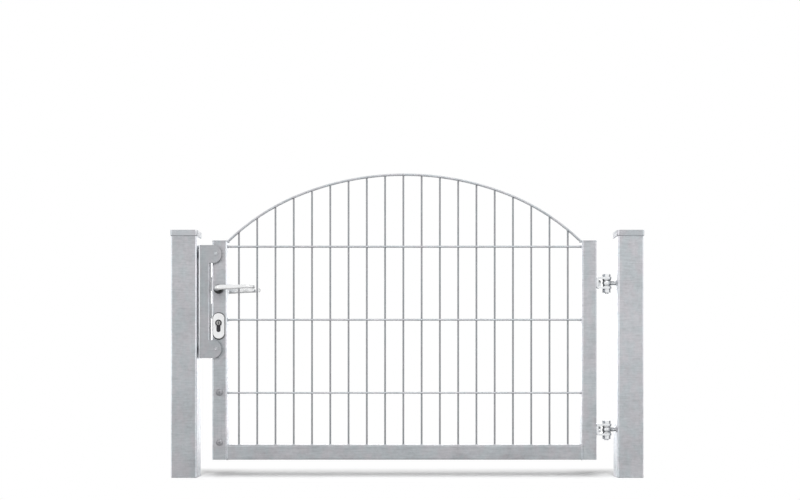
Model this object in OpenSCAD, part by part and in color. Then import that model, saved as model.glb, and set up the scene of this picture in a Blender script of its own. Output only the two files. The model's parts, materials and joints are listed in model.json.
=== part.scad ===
// Arched single-leaf garden gate between two square posts.
// Double-rod mesh panel in a welded tube frame, eye-bolt hinges, lever lock and folded stop plate.
// Seen from the front (looking along +Y) the hinge post is on the right.
// +X points from the strike post to the hinge post, +Z is up, the leaf opens backwards, towards +Y.
// The origin is the centre of the hinge post's foot.

/* [Posts] */
// Width and depth of the square gate posts
post_w = 70; // [60:1:100]
// Wall thickness of the post tube
post_wall = 3; // [2:0.5:5]
// Outer corner radius of the post tube
post_corner = 5; // [4:0.5:8]
// How far the post tubes rise above the leaf's stiles
post_rise = 24; // [10:1:80]

/* [Post caps] */
// Sheet thickness of the skirt of the pressed cap
cap_skirt_t = 1.8; // [1:0.1:3]
// Height of the cap, from the lower edge of the skirt to its flat top
cap_h = 15; // [10:1:30]
// Thickness of the cap's top
cap_top_t = 2.5; // [1.5:0.5:5]
// Diameter of the shallow dome on the cap
dome_d = 62; // [30:1:66]
// Rise of the dome above the flat top
dome_rise = 4; // [2:0.5:8]
// Gap between the skirt and the post tube
cap_fit = 0.2; // [0.1:0.1:0.5]

/* [Leaf frame] */
// Width of the leaf over its two stiles
leaf_w = 1046; // [800:1:1300]
// Width and depth of the frame tube
tube_w = 40; // [36:1:50]
// Wall thickness of the frame tube
tube_wall = 2; // [1.5:0.5:3]
// Outer corner radius of the frame tube
tube_corner = 4.5; // [3.5:0.5:6]
// Gap between the ground and the leaf
ground_gap = 48; // [30:1:80]
// Height of the stiles, without their end plates
stile_h = 594; // [560:1:700]
// Thickness of the plates that close the stiles
end_plate_t = 3; // [2:0.5:5]
// Gap between the leaf and the strike post
lock_gap = 40; // [38:1:50]

/* [Rod mesh] */
// Diameter of the upright rods
upright_d = 5; // [4:0.5:8]
// Diameter of the paired cross rods and of the arch rods
cross_d = 5; // [4:0.5:8]
// How far a cross rod melts into an upright at each weld
weld_sink = 0.4; // [0.2:0.1:0.8]
// Spacing of the upright rods
upright_pitch = 50; // [30:1:80]
// Distance from the lock stile to the first upright
upright_margin = 30; // [20:1:50]
// Spacing of the cross rods
cross_pitch = 200; // [100:1:250]
// Height of the lowest cross rods above the bottom rail
cross_first = 142; // [60:1:180]

/* [Arch] */
// Rise of the arch above its ends
arch_rise = 183; // [150:1:200]
// Radius of the arch's crown
crown_r = 772; // [740:1:820]
// Half of the angle that the crown covers
crown_angle = 21.4; // [18:0.1:24]
// Distance from the top of the stiles down to the ends of the arch
arch_drop = 1; // [0:0.5:6]

/* [Hinges] */
// Distance from the post's face to the hinge axis
axis_to_post = 25; // [25:1:40]
// Distance from the hinge axis to the leaf
axis_to_leaf = 30; // [30:1:40]
// Height of the lower hinge above the leaf's lower edge
hinge_up = 82; // [60:1:120]
// Distance between the two hinges
hinge_span = 400; // [300:1:450]
// Outer diameter of the eye
eye_d = 25; // [22:0.5:30]
// Thickness of the eye
eye_t = 14; // [12:0.5:18]
// Diameter of the hinge pin and of the eye bolt's shank
pin_d = 12; // [10:0.5:14]
// Length of the eye bolt's shank inside the post
shank_in_post = 32; // [15:1:45]
// Plate thickness of the U-shaped bracket
bracket_t = 6; // [4:0.5:8]
// Depth of the bracket, front to back
bracket_w = 30; // [26:1:36]
// How far the bracket's ears reach past the hinge axis
ear_reach = 12; // [10:0.5:14]
// Corner radius of the ears
ear_corner = 8; // [4:0.5:10]
// Outer radius of the bracket's bends
bracket_bend = 8; // [7:0.5:10]
// Diameter of the hinge washers
washer_d = 24; // [20:0.5:28]
// Thickness of the hinge washers
washer_t = 3; // [2:0.5:4]
// Gap between a turning washer and the eye
washer_gap = 0.3; // [0.2:0.1:0.5]
// Width across the flats of the pin's head and nut
pin_hex = 19; // [18:0.5:22]
// Height of the pin's head
pin_head_h = 8; // [6:0.5:10]
// Height of the pin's nut
pin_nut_h = 10; // [8:0.5:12]
// How far the pin's rounded end shows below the nut
pin_end = 3; // [1:0.5:6]
// Diameter of the bolt that holds the bracket
fix_bolt_d = 10; // [8:0.5:12]
// Width across the flats of that bolt's head
fix_bolt_hex = 16; // [13:0.5:18]
// Height of that bolt's head
fix_head_h = 7; // [4:0.5:7]
// Length of that bolt inside the stile
fix_bolt_in = 12; // [6:1:20]
// Diameter of the threaded bush in the post's wall
bush_d = 16; // [15:0.5:20]
// Diameter of the bush's flange
bush_flange_d = 19; // [18:0.5:26]
// Thickness of the bush's flange
bush_flange_t = 1.5; // [1:0.5:3]
// Length of the bush inside the post
bush_l = 20; // [10:1:30]

/* [Lock] */
// Distance from the top of the stiles down to the lever's axis
lever_down = 133; // [124:0.5:150]
// Distance from the leaf's edge to the lever's axis
backset = 18; // [16:0.1:20]
// Distance from the lever's axis down to the cylinder
cylinder_drop = 92; // [72:1:100]
// Height of the lock's faceplate
faceplate_h = 245; // [200:1:260]
// Width of the faceplate
faceplate_w = 24; // [18:1:28]
// Distance from the lever's axis up to the faceplate's top
faceplate_above = 62; // [50:1:80]
// Depth of the lock case, across the stile
case_depth = 28; // [26:0.5:32]
// Width of the lock case, front to back
case_w = 16; // [14:1:20]
// Distance from the lever's axis up to the case's top
case_above = 38; // [34:1:50]
// Distance from the cylinder's axis down to the case's lower end
case_below = 40; // [30:1:60]
// Height of the latch bolt
latch_h = 30; // [20:1:34]
// Distance from the lever's axis up to the middle of the latch bolt
latch_above = 16; // [12:0.5:20]
// Height of the dead bolt
deadbolt_h = 34; // [25:1:36]
// Distance from the lever's axis down to the middle of the dead bolt
deadbolt_below = 58; // [50:1:70]
// Thickness of both bolts, front to back
bolt_t = 11; // [8:0.5:12]
// Length of both bolts
bolt_l = 9; // [6:0.5:10]
// Gap round the bolts, the faceplate and the cylinder
lock_fit = 0.3; // [0.2:0.1:0.5]
// Gap round what turns in the lock
turn_fit = 0.25; // [0.2:0.05:0.4]

/* [Cylinder and escutcheons] */
// Diameter of the round part of the profile cylinder
cyl_d = 17; // [16.5:0.5:17.5]
// Width of the cylinder's straight part
cyl_stem_w = 10; // [9:0.5:11]
// Overall height of the cylinder
cyl_h = 33; // [31:0.5:34]
// How far the cylinder stands out of an escutcheon
cyl_proud = 1.5; // [0.5:0.5:3]
// Width of an escutcheon
escutcheon_w = 32; // [24:0.5:32]
// Height of an escutcheon
escutcheon_h = 72; // [60:1:73]
// Distance from the cylinder's axis down to the escutcheon's middle
escutcheon_drop = 8; // [4:0.5:9]
// Thickness of an escutcheon
escutcheon_t = 7; // [5:0.5:9]
// Radius of an escutcheon's round edge
escutcheon_edge = 3; // [2:0.5:4]
// Width of the keyway
keyway_w = 2; // [1.5:0.1:3]
// Height of the keyway
keyway_h = 8.5; // [7:0.5:10]
// Depth of the keyway
keyway_depth = 5; // [3:0.5:8]

/* [Levers] */
// Diameter of the black bearing ring behind a lever
ring_d = 25; // [22:0.5:29]
// Thickness of the bearing ring
ring_t = 11; // [6:0.5:14]
// Radius of the ring's round edge
ring_edge = 2; // [1:0.5:3]
// Diameter of the lever's neck
neck_d = 15; // [12:0.5:18]
// Distance from the stile's face to the middle of the lever's arm
lever_stand = 51; // [40:1:60]
// Reach of the lever, from its axis to its tip
lever_reach = 97; // [85:1:125]
// Radius of the bend between the neck and the arm
neck_bend = 12; // [10:0.5:18]
// Radius of the bend that turns the tip back to the leaf
tip_bend = 24; // [18:0.5:30]
// Angle that the tip turns back through
tip_angle = 65; // [40:1:80]
// Height of the arm at its tip
tip_h = 9.5; // [8:0.5:14]
// Thickness of the arm
arm_t = 9; // [7:0.5:12]
// How far the arm's upper edge lies above the neck's
arm_rise = 1; // [0:0.5:4]
// Side of the square spindle
spindle_s = 8; // [7:0.5:9]

/* [Stop plate] */
// Sheet thickness of the stop plate
stop_t = 4; // [3:0.5:5]
// Gap between the stop plate's front sheet and the leaf, where the buffers sit
stop_stand = 7; // [6:0.5:10]
// Gap between the plate's flange and the strike post
stop_post_gap = 3.5; // [2:0.5:5]
// Gap between the plate's keeper and the leaf
keeper_gap = 5.3; // [5.2:0.1:8]
// Distance from the lever's axis up to the upper tab
recess_above = 70; // [60:0.5:75]
// Height from the lower tab's rounded upper edge to the escutcheon's round end
recess_clear = 2.5; // [2.5:0.5:10]
// Height of the lower tab
lower_tab_h = 49; // [46.5:0.5:60]
// Height of the upper tab
upper_tab_h = 49; // [46.5:0.5:60]
// How far the tabs lap over the leaf
tab_lap = 26.5; // [20:0.5:30]
// Corner radius of the tabs
tab_corner = 23; // [8:0.5:23]
// Outer radius of the plate's folds
fold_r = 5; // [5:0.5:7]
// Depth of the flanges behind the front sheet
flange_depth = 44; // [40:1:50]
// Gap round a bolt in its window in the keeper
window_fit = 4; // [3:0.5:6]
// Diameter of the bolts that hold the stop plate
stop_bolt_d = 8; // [6:0.5:10]
// Width across the flats of their heads
stop_bolt_hex = 13; // [12:0.5:14]
// Height of their heads
stop_head_h = 5.5; // [4:0.5:6]
// Distance from the plate's ends to these bolts
stop_bolt_inset = 24; // [15:1:30]
// Diameter of the rubber buffers
buffer_d = 18; // [12:0.5:22]
// Distance from the plate's ends to the buffers' middles
buffer_end = 24; // [20:0.5:26]
// Distance from the tab's free edge to the buffer's middle
buffer_inset = 15; // [13:0.5:18]
// Gap between a buffer and the closed leaf
buffer_gap = 0.5; // [0.3:0.1:1]
// Diameter of the rivet that holds a buffer
rivet_d = 10; // [6:0.5:12]
// Height of the rivet's head
rivet_h = 2; // [1:0.5:3]

/* [Stile screws] */
// Diameter of the round-headed screws in the lock stile
screw_head_d = 18; // [14:0.5:20]
// Height of a screw's head
screw_head_h = 5; // [3:0.5:7]
// Diameter of a screw's shank
screw_d = 10; // [8:0.5:12]
// Length of a screw's shank
screw_l = 12; // [6:1:20]
// Distance from the leaf's edge to the screws
screw_inset = 20; // [18:0.5:22]
// Height of the lower screw above the leaf's lower edge
lower_screw_up = 46.5; // [30:0.5:60]
// Distance between the two screws
screw_span = 136.5; // [100:0.5:160]

/* [Hidden] */
// Curve quality of round pieces
fine = 64;
// Curve quality of large arcs
finest = 256;
// Rods are modelled with this many sides
rod_sides = 8;
// Overshoot of cutting shapes
cut = 1;

// Places across the gate
axis_x = -(post_w / 2 + axis_to_post);
leaf_right = axis_x - axis_to_leaf;
leaf_left = leaf_right - leaf_w;
strike_face = leaf_left - lock_gap;
strike_x = strike_face - post_w / 2;
clear_left = leaf_left + tube_w;
clear_right = leaf_right - tube_w;
clear_w = clear_right - clear_left;
lever_x = leaf_left + backset;
stile_face = tube_w / 2;

// Heights of the leaf
rail_top = ground_gap + tube_w;
stile_top = ground_gap + stile_h;
leaf_top = stile_top + end_plate_t;
post_h = leaf_top + post_rise;
lower_hinge_z = ground_gap + hinge_up;
upper_hinge_z = lower_hinge_z + hinge_span;
lever_z = leaf_top - lever_down;
cylinder_z = lever_z - cylinder_drop;
case_top = lever_z + case_above;
case_h = case_above + cylinder_drop + case_below;
latch_z = lever_z + latch_above;
deadbolt_z = lever_z - deadbolt_below;

// Mesh
cross_y = (upright_d + cross_d) / 2 - weld_sink;
upright_count = floor((clear_w - upright_margin - cross_d) / upright_pitch) + 1;
cross_count = floor((stile_top - rail_top - cross_first - cross_d) / cross_pitch) + 1;

// Arch: a crown arc with a tighter shoulder arc on each side, tangent where they meet
arch_x = (clear_left + clear_right) / 2;
arch_end_z = leaf_top - arch_drop;
arch_top_z = arch_end_z + arch_rise;
crown_half = crown_r * sin(crown_angle);
crown_fall = crown_r * (1 - cos(crown_angle));
shoulder_w = clear_w / 2 - crown_half;
shoulder_fall = arch_rise - crown_fall;
shoulder_r = (pow(shoulder_w, 2) + pow(shoulder_fall, 2))
    / (2 * (shoulder_fall * cos(crown_angle) - shoulder_w * sin(crown_angle)));
shoulder_x = (crown_r - shoulder_r) * sin(crown_angle);
shoulder_z = arch_top_z - crown_r + (crown_r - shoulder_r) * cos(crown_angle);

// Hinge
ear_gap = eye_t + 2 * (washer_t + washer_gap);
bracket_h = ear_gap + 2 * bracket_t;

// Stop plate
stop_front = -(stile_face + stop_stand + stop_t);
keeper_x = leaf_left - keeper_gap;
flange_x = strike_face + stop_post_gap;
recess_low = cylinder_z - escutcheon_drop - escutcheon_h / 2 - recess_clear;
recess_high = lever_z + recess_above;
stop_z = recess_low - lower_tab_h;
stop_top = recess_high + upper_tab_h;
stop_h = stop_top - stop_z;
tab_x = leaf_left + tab_lap;
buffer_x = tab_x - buffer_inset;

// Stop plate's fixings, buffers and the stile screws
stop_bolt_heights = [stop_z + stop_bolt_inset, stop_top - stop_bolt_inset];
buffer_heights = [stop_z + buffer_end, stop_top - buffer_end];
lower_screw_z = ground_gap + lower_screw_up;
screw_heights = [lower_screw_z, lower_screw_z + screw_span];
// How far the stop plate's bolts run on inside the post
stop_bolt_end = 10;
// A spacer is this much wider than the bolt's head
spacer_extra = 5;

// Running gap at a pin, on each side
pin_gap = 0.1;
// Gap between a lever's neck and the stile
ring_gap = 0.5;
// Share of a domed head's height that its square rim takes
rim_share = 0.25;
// Diameter of a buffer rivet's shank
rivet_shank = 5;
// How far a rivet's shank runs into the rubber
rivet_in = 3;
// Sides of a lever's cross-section
lever_sides = 20;
// Angle between two cross-sections in the lever's first bend
bend_step = 15;
// Number of stretches in the lever's last bend
tip_steps = 6;

// Height of the arch's middle line at a place across the gate
function arch_z(x) =
    let (across = abs(x - arch_x))
    across <= crown_half
        ? arch_top_z - crown_r + sqrt(pow(crown_r, 2) - pow(across, 2))
        : shoulder_z + sqrt(pow(shoulder_r, 2) - pow(across - shoulder_x, 2));

// ---------- shared shapes ----------

// Square with round corners, centred
module round_square(side, corner) {
    flat = side - 2 * corner;
    square([side, flat], center = true);
    square([flat, side], center = true);
    for (sx = [-1, 1], sy = [-1, 1])
        translate([sx * flat / 2, sy * flat / 2])
            circle(r = corner, $fn = fine);
}

// Upright square tube standing on z = 0
module square_tube(side, wall, corner, length) {
    linear_extrude(length)
        difference() {
            round_square(side, corner);
            round_square(side - 2 * wall, corner - wall);
        }
}

// Outline of a rod, flats to the front and back
module rod_outline(d) {
    rotate(180 / rod_sides)
        circle(d = d / cos(180 / rod_sides), $fn = rod_sides);
}

// Cylinder along the Y axis, centred on the origin
module y_cylinder(d, length) {
    rotate([90, 0, 0])
        cylinder(d = d, h = length, center = true, $fn = fine);
}

// Cylinder that runs along +X from the origin
module x_cylinder(d, length) {
    rotate([0, 90, 0])
        cylinder(d = d, h = length, $fn = fine);
}

// Hexagon prism that stands on z = 0, measured across its flats
module hex_prism(flats, height) {
    cylinder(d = flats / cos(30), h = height, $fn = 6);
}

// Bolt head or nut that stands on z = 0: a hexagon with its upper corners turned off
module hex_head(flats, height) {
    corner_r = flats / 2 / cos(30);
    turned = (corner_r - flats / 2) * tan(30);
    intersection() {
        hex_prism(flats, height);
        union() {
            cylinder(r = corner_r + cut, h = height - turned, $fn = fine);
            translate([0, 0, height - turned])
                cylinder(r1 = corner_r, r2 = flats / 2, h = turned, $fn = fine);
        }
    }
}

// Low domed head, turned from an arc that ends square at its rim
module button_head(d, height) {
    rim_h = height * rim_share;
    rise = height - rim_h;
    ball_r = (pow(d / 2, 2) + pow(rise, 2)) / (2 * rise);
    rotate_extrude($fn = fine) {
        square([d / 2, rim_h]);
        intersection() {
            translate([0, height - ball_r])
                circle(r = ball_r, $fn = finest);
            square([d / 2, height]);
        }
    }
}

// Half of a disc's section: flat below, with a round upper edge
module disc_section(radius, thick, edge) {
    square([radius - edge, thick]);
    square([radius, thick - edge]);
    translate([radius - edge, thick - edge])
        circle(r = edge, $fn = fine);
}

// Outline of the profile cylinder, or of its hole with a gap round it
module cylinder_outline(gap) {
    circle(d = cyl_d + 2 * gap, $fn = fine);
    stem_end = -(cyl_h - cyl_d / 2 - cyl_stem_w / 2);
    translate([0, stem_end])
        circle(d = cyl_stem_w + 2 * gap, $fn = fine);
    translate([-cyl_stem_w / 2 - gap, stem_end])
        square([cyl_stem_w + 2 * gap, -stem_end]);
}

// Profile cylinder's outline stretched front to back through the stile
module cylinder_block(gap, length) {
    translate([lever_x, 0, cylinder_z])
        rotate([90, 0, 0])
            linear_extrude(length, center = true)
                cylinder_outline(gap);
}

// ---------- posts ----------

module strike_post() {
    color("silver")
        difference() {
            translate([strike_x, 0, 0])
                square_tube(post_w, post_wall, post_corner, post_h);
            for (z = stop_bolt_heights)
                translate([strike_face - post_wall - cut, 0, z])
                    x_cylinder(stop_bolt_d + 2 * turn_fit, post_wall + 2 * cut);
        }
}

module hinge_post() {
    color("silver")
        difference() {
            square_tube(post_w, post_wall, post_corner, post_h);
            for (z = [lower_hinge_z, upper_hinge_z])
                translate([-post_w / 2 - cut, 0, z])
                    x_cylinder(bush_d + 2 * turn_fit, post_wall + 2 * cut);
        }
}

// Pressed cap with a skirt, a flat top and a shallow dome
module post_cap(x) {
    inner = post_w + 2 * cap_fit;
    outer = inner + 2 * cap_skirt_t;
    skirt_z = post_h + cap_top_t - cap_h;
    dome_r = (pow(dome_d / 2, 2) + pow(dome_rise, 2)) / (2 * dome_rise);
    color("gainsboro")
        translate([x, 0, 0]) {
            difference() {
                translate([0, 0, skirt_z])
                    linear_extrude(cap_h)
                        round_square(outer, post_corner + cap_skirt_t);
                translate([0, 0, skirt_z - cut])
                    linear_extrude(cap_h - cap_top_t + cut)
                        round_square(inner, post_corner);
            }
            translate([0, 0, post_h + cap_top_t])
                rotate_extrude($fn = fine)
                    intersection() {
                        translate([0, dome_rise - dome_r])
                            circle(r = dome_r, $fn = finest);
                        square([dome_d / 2, dome_rise]);
                    }
        }
}

module strike_post_cap() {
    post_cap(strike_x);
}

module hinge_post_cap() {
    post_cap(0);
}

// ---------- hinges ----------

// Eye bolt: a ball with two flats and a bore, on a shank that runs into the hinge post
module eye_bolt(z) {
    eye_bore = pin_d + 2 * pin_gap;
    shank_l = axis_to_post + shank_in_post;
    color("lightsteelblue")
        translate([axis_x, 0, z])
            difference() {
                union() {
                    intersection() {
                        sphere(d = eye_d, $fn = fine);
                        cube([2 * eye_d, 2 * eye_d, eye_t], center = true);
                    }
                    x_cylinder(pin_d, shank_l);
                }
                cylinder(d = eye_bore, h = eye_t + 2 * cut, center = true, $fn = fine);
            }
}

module upper_eye_bolt() {
    eye_bolt(upper_hinge_z);
}

module lower_eye_bolt() {
    eye_bolt(lower_hinge_z);
}

// Threaded bush with a thin flange, set in the post's wall
module eye_bush(z) {
    color("lightsteelblue")
        translate([-post_w / 2, 0, z])
            difference() {
                union() {
                    translate([-bush_flange_t, 0, 0])
                        x_cylinder(bush_flange_d, bush_flange_t);
                    x_cylinder(bush_d, bush_l);
                }
                translate([-bush_flange_t - cut, 0, 0])
                    x_cylinder(pin_d + 2 * pin_gap, bush_l + bush_flange_t + 2 * cut);
            }
}

module upper_eye_bush() {
    eye_bush(upper_hinge_z);
}

module lower_eye_bush() {
    eye_bush(lower_hinge_z);
}

// Block open to +X, with two round corners at x = 0: the outside or the inside of a bent channel
module bent_channel(height, length, bend) {
    translate([bend, -height / 2])
        square([length - bend, height]);
    translate([0, bend - height / 2])
        square([2 * bend, height - 2 * bend]);
    for (side = [-1, 1])
        translate([bend, side * (height / 2 - bend)])
            circle(r = bend, $fn = fine);
}

// U-shaped bracket of bent plate: two ears that hold the pin and a web that lies on the hinge stile
module hinge_bracket(z) {
    web_x = -axis_to_leaf;
    ear_l = axis_to_leaf + ear_reach;
    corner_x = ear_reach - ear_corner;
    corner_y = bracket_w / 2 - ear_corner;
    color("lightsteelblue")
        translate([axis_x, 0, z])
            difference() {
                intersection() {
                    linear_extrude(bracket_h, center = true) {
                        translate([web_x, -corner_y])
                            square([ear_l, 2 * corner_y]);
                        translate([web_x, -bracket_w / 2])
                            square([ear_l - ear_corner, bracket_w]);
                        for (side = [-1, 1])
                            translate([corner_x, side * corner_y])
                                circle(r = ear_corner, $fn = fine);
                    }
                    translate([web_x, bracket_w / 2, 0])
                        rotate([90, 0, 0])
                            linear_extrude(bracket_w)
                                difference() {
                                    bent_channel(bracket_h, ear_l, bracket_bend);
                                    translate([bracket_t, 0])
                                        bent_channel(ear_gap, ear_l, bracket_bend - bracket_t);
                                }
                }
                cylinder(d = pin_d + 2 * pin_gap, h = bracket_h + 2 * cut, center = true, $fn = fine);
                translate([web_x - cut, 0, 0])
                    x_cylinder(fix_bolt_d + 2 * turn_fit, bracket_t + 2 * cut);
            }
}

module upper_hinge_bracket() {
    hinge_bracket(upper_hinge_z);
}

module lower_hinge_bracket() {
    hinge_bracket(lower_hinge_z);
}

// Hinge pin: hexagon head on the upper ear, shank through both ears and the nut
module hinge_pin(z) {
    shank_low = -(bracket_h / 2 + pin_nut_h + pin_end);
    color("lightsteelblue")
        translate([axis_x, 0, z]) {
            translate([0, 0, bracket_h / 2])
                hex_head(pin_hex, pin_head_h);
            translate([0, 0, shank_low])
                cylinder(d = pin_d, h = bracket_h / 2 - shank_low, $fn = fine);
        }
}

module upper_hinge_pin() {
    hinge_pin(upper_hinge_z);
}

module lower_hinge_pin() {
    hinge_pin(lower_hinge_z);
}

// Nut below the lower ear
module hinge_nut(z) {
    color("lightsteelblue")
        translate([axis_x, 0, z - bracket_h / 2])
            mirror([0, 0, 1])
                difference() {
                    hex_head(pin_hex, pin_nut_h);
                    translate([0, 0, -cut])
                        cylinder(d = pin_d + 2 * pin_gap, h = pin_nut_h + 2 * cut, $fn = fine);
                }
}

module upper_hinge_nut() {
    hinge_nut(upper_hinge_z);
}

module lower_hinge_nut() {
    hinge_nut(lower_hinge_z);
}

// One washer against each ear, with the eye between them
module hinge_washers(z) {
    color("gainsboro")
        for (washer_z = [-ear_gap / 2, ear_gap / 2 - washer_t])
            translate([axis_x, 0, z + washer_z])
                difference() {
                    cylinder(d = washer_d, h = washer_t, $fn = fine);
                    translate([0, 0, -cut])
                        cylinder(d = pin_d + 2 * pin_gap, h = washer_t + 2 * cut, $fn = fine);
                }
}

module upper_hinge_washers() {
    hinge_washers(upper_hinge_z);
}

module lower_hinge_washers() {
    hinge_washers(lower_hinge_z);
}

// Bolt that holds a bracket: its head lies on the web, inside the U
module bracket_bolt(z) {
    seat_x = leaf_right + bracket_t;
    color("lightsteelblue")
        translate([seat_x, 0, z]) {
            rotate([0, 90, 0])
                rotate(30)
                    hex_head(fix_bolt_hex, fix_head_h);
            translate([-bracket_t - fix_bolt_in, 0, 0])
                x_cylinder(fix_bolt_d, bracket_t + fix_bolt_in);
        }
}

module upper_bracket_bolt() {
    bracket_bolt(upper_hinge_z);
}

module lower_bracket_bolt() {
    bracket_bolt(lower_hinge_z);
}

// ---------- leaf frame ----------

module frame_tube(x) {
    translate([x, 0, ground_gap])
        square_tube(tube_w, tube_wall, tube_corner, stile_h);
}

module lock_stile() {
    color("silver")
        difference() {
            frame_tube(leaf_left + tube_w / 2);
            faceplate_outline_block(lock_fit, tube_wall + 2 * cut);
            translate([lever_x, 0, lever_z])
                y_cylinder(neck_d + 2 * turn_fit, tube_w + 2 * cut);
            cylinder_block(lock_fit, tube_w + 2 * cut);
            for (z = screw_heights)
                translate([leaf_left + screw_inset, -stile_face, z])
                    y_cylinder(screw_d + 2 * turn_fit, 2 * tube_wall + 2 * cut);
        }
}

module hinge_stile() {
    color("silver")
        difference() {
            frame_tube(leaf_right - tube_w / 2);
            for (z = [lower_hinge_z, upper_hinge_z])
                translate([leaf_right - tube_wall - cut, 0, z])
                    x_cylinder(fix_bolt_d + 2 * turn_fit, tube_wall + 2 * cut);
        }
}

// Rail welded between the stiles, level with their feet
module bottom_rail() {
    color("silver")
        translate([clear_left, 0, ground_gap + tube_w / 2])
            rotate([0, 90, 0])
                square_tube(tube_w, tube_wall, tube_corner, clear_w);
}

// Plate welded on the top of a stile
module stile_end(x) {
    color("silver")
        translate([x, 0, stile_top])
            linear_extrude(end_plate_t)
                round_square(tube_w, tube_corner);
}

module lock_stile_end() {
    stile_end(leaf_left + tube_w / 2);
}

module hinge_stile_end() {
    stile_end(leaf_right - tube_w / 2);
}

// ---------- mesh panel ----------

// One stretch of an arch rod: an arc about a centre, from one angle to another
module arch_arc(centre_x, centre_z, radius, from, to) {
    translate([centre_x, 0, centre_z])
        rotate([90, 0, 0])
            rotate([0, 0, from])
                rotate_extrude(angle = to - from, $fn = finest)
                    translate([radius, 0])
                        rod_outline(cross_d);
}

// Crown arc and two shoulder arcs, cut off at the faces of the stiles
module arch_rod() {
    spare_angle = 4;
    end_angle = asin(sin(crown_angle) + shoulder_w / shoulder_r) + spare_angle;
    intersection() {
        union() {
            arch_arc(arch_x, arch_top_z - crown_r, crown_r, 90 - crown_angle, 90 + crown_angle);
            arch_arc(arch_x + shoulder_x, shoulder_z, shoulder_r, 90 - end_angle, 90 - crown_angle);
            arch_arc(arch_x - shoulder_x, shoulder_z, shoulder_r, 90 + crown_angle, 90 + end_angle);
        }
        translate([clear_left, -cross_d, rail_top])
            cube([clear_w, 2 * cross_d, arch_top_z]);
    }
}

module mesh_panel() {
    color("darkgray") {
        for (i = [0 : upright_count - 1]) {
            x = clear_left + upright_margin + i * upright_pitch;
            translate([x, 0, rail_top])
                linear_extrude(arch_z(x) - rail_top)
                    rod_outline(upright_d);
        }
        for (side = [-1, 1]) {
            for (row = [0 : cross_count - 1])
                translate([clear_left, side * cross_y, rail_top + cross_first + row * cross_pitch])
                    rotate([0, 90, 0])
                        linear_extrude(clear_w)
                            rod_outline(cross_d);
            translate([0, side * cross_y, 0])
                arch_rod();
        }
    }
}

// ---------- lock ----------

// The faceplate's outline as a block along X, centred on the stile's outer wall
module faceplate_outline_block(gap, depth) {
    width = faceplate_w + 2 * gap;
    height = faceplate_h + 2 * gap;
    translate([leaf_left + tube_wall / 2, 0, lever_z + faceplate_above - faceplate_h / 2])
        cube([depth, width, height], center = true);
}

// Bolt window through the faceplate and into the case
module bolt_pocket(z, height) {
    translate([leaf_left - cut, -bolt_t / 2 - lock_fit, z - height / 2 - lock_fit])
        cube([bolt_l + lock_fit + cut, bolt_t + 2 * lock_fit, height + 2 * lock_fit]);
}

// Lock case inside the stile, with the faceplate let into the stile's outer wall
module mortise_lock() {
    color("gainsboro")
        difference() {
            union() {
                faceplate_outline_block(0, tube_wall);
                translate([leaf_left + tube_wall, -case_w / 2, case_top - case_h])
                    cube([case_depth, case_w, case_h]);
            }
            translate([lever_x, 0, lever_z])
                y_cylinder(spindle_s * sqrt(2) + 2 * turn_fit, case_w + 2 * cut);
            cylinder_block(lock_fit, case_w + 2 * cut);
            bolt_pocket(latch_z, latch_h);
            bolt_pocket(deadbolt_z, deadbolt_h);
        }
}

// A bolt drawn back until it is level with the faceplate
module drawn_bolt(z, height) {
    color("gainsboro")
        translate([leaf_left, -bolt_t / 2, z - height / 2])
            cube([bolt_l, bolt_t, height]);
}

module latch_bolt() {
    drawn_bolt(latch_z, latch_h);
}

module dead_bolt() {
    drawn_bolt(deadbolt_z, deadbolt_h);
}

module profile_cylinder() {
    length = tube_w + 2 * (escutcheon_t + cyl_proud);
    color("silver")
        difference() {
            cylinder_block(0, length);
            for (side = [-1, 1])
                translate([lever_x, side * length / 2, cylinder_z])
                    cube([keyway_w, 2 * keyway_depth, keyway_h], center = true);
        }
}

// Oval plate with round ends and a round upper edge: two turned ends and a straight middle
module oval_plate(width, height, thick, edge) {
    straight = height - width;
    for (end = [-1, 1])
        translate([0, end * straight / 2, 0])
            rotate_extrude($fn = fine)
                disc_section(width / 2, thick, edge);
    translate([0, straight / 2, 0])
        rotate([90, 0, 0])
            linear_extrude(straight) {
                disc_section(width / 2, thick, edge);
                mirror([1, 0])
                    disc_section(width / 2, thick, edge);
            }
}

// Oval escutcheon, cut out for the cylinder
module escutcheon(side) {
    color("white")
        difference() {
            translate([lever_x, side * stile_face, cylinder_z - escutcheon_drop])
                rotate([side * 90, 0, 0])
                    mirror([0, 0, 1])
                        oval_plate(escutcheon_w, escutcheon_h, escutcheon_t, escutcheon_edge);
            cylinder_block(lock_fit, tube_w + 2 * escutcheon_t + 2 * cut);
        }
}

module front_escutcheon() {
    escutcheon(-1);
}

module rear_escutcheon() {
    escutcheon(1);
}

// ---------- levers ----------

// Black ring that the lever's neck turns in
module lever_ring(side) {
    color("dimgray")
        translate([lever_x, side * stile_face, lever_z])
            rotate([-side * 90, 0, 0])
                difference() {
                    rotate_extrude($fn = fine)
                        disc_section(ring_d / 2, ring_t, ring_edge);
                    translate([0, 0, -cut])
                        cylinder(d = neck_d + 2 * turn_fit, h = ring_t + 2 * cut, $fn = fine);
                }
}

module front_lever_ring() {
    lever_ring(-1);
}

module rear_lever_ring() {
    lever_ring(1);
}

// The lever's middle line: along, out and heading at a share of the way from neck to tip.
// It leaves the stile, bends over into the arm and turns back at the tip.
arm_l = lever_reach - neck_bend - tip_bend * sin(tip_angle);
neck_l = lever_stand - neck_bend - ring_gap;
function bend_in(a) = [neck_bend * (1 - cos(a)), lever_stand - neck_bend + neck_bend * sin(a), 90 - a];
function bend_out(a) = [
    neck_bend + arm_l + tip_bend * sin(a),
    lever_stand - tip_bend * (1 - cos(a)),
    -a
];
lever_line = concat(
    [[0, ring_gap, 90], [0, ring_gap + neck_l / 2, 90]],
    [for (a = [0 : bend_step : 90]) bend_in(a)],
    [[neck_bend + arm_l / 2, lever_stand, 0]],
    [for (i = [0 : tip_steps]) bend_out(tip_angle * i / tip_steps)]
);

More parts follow.
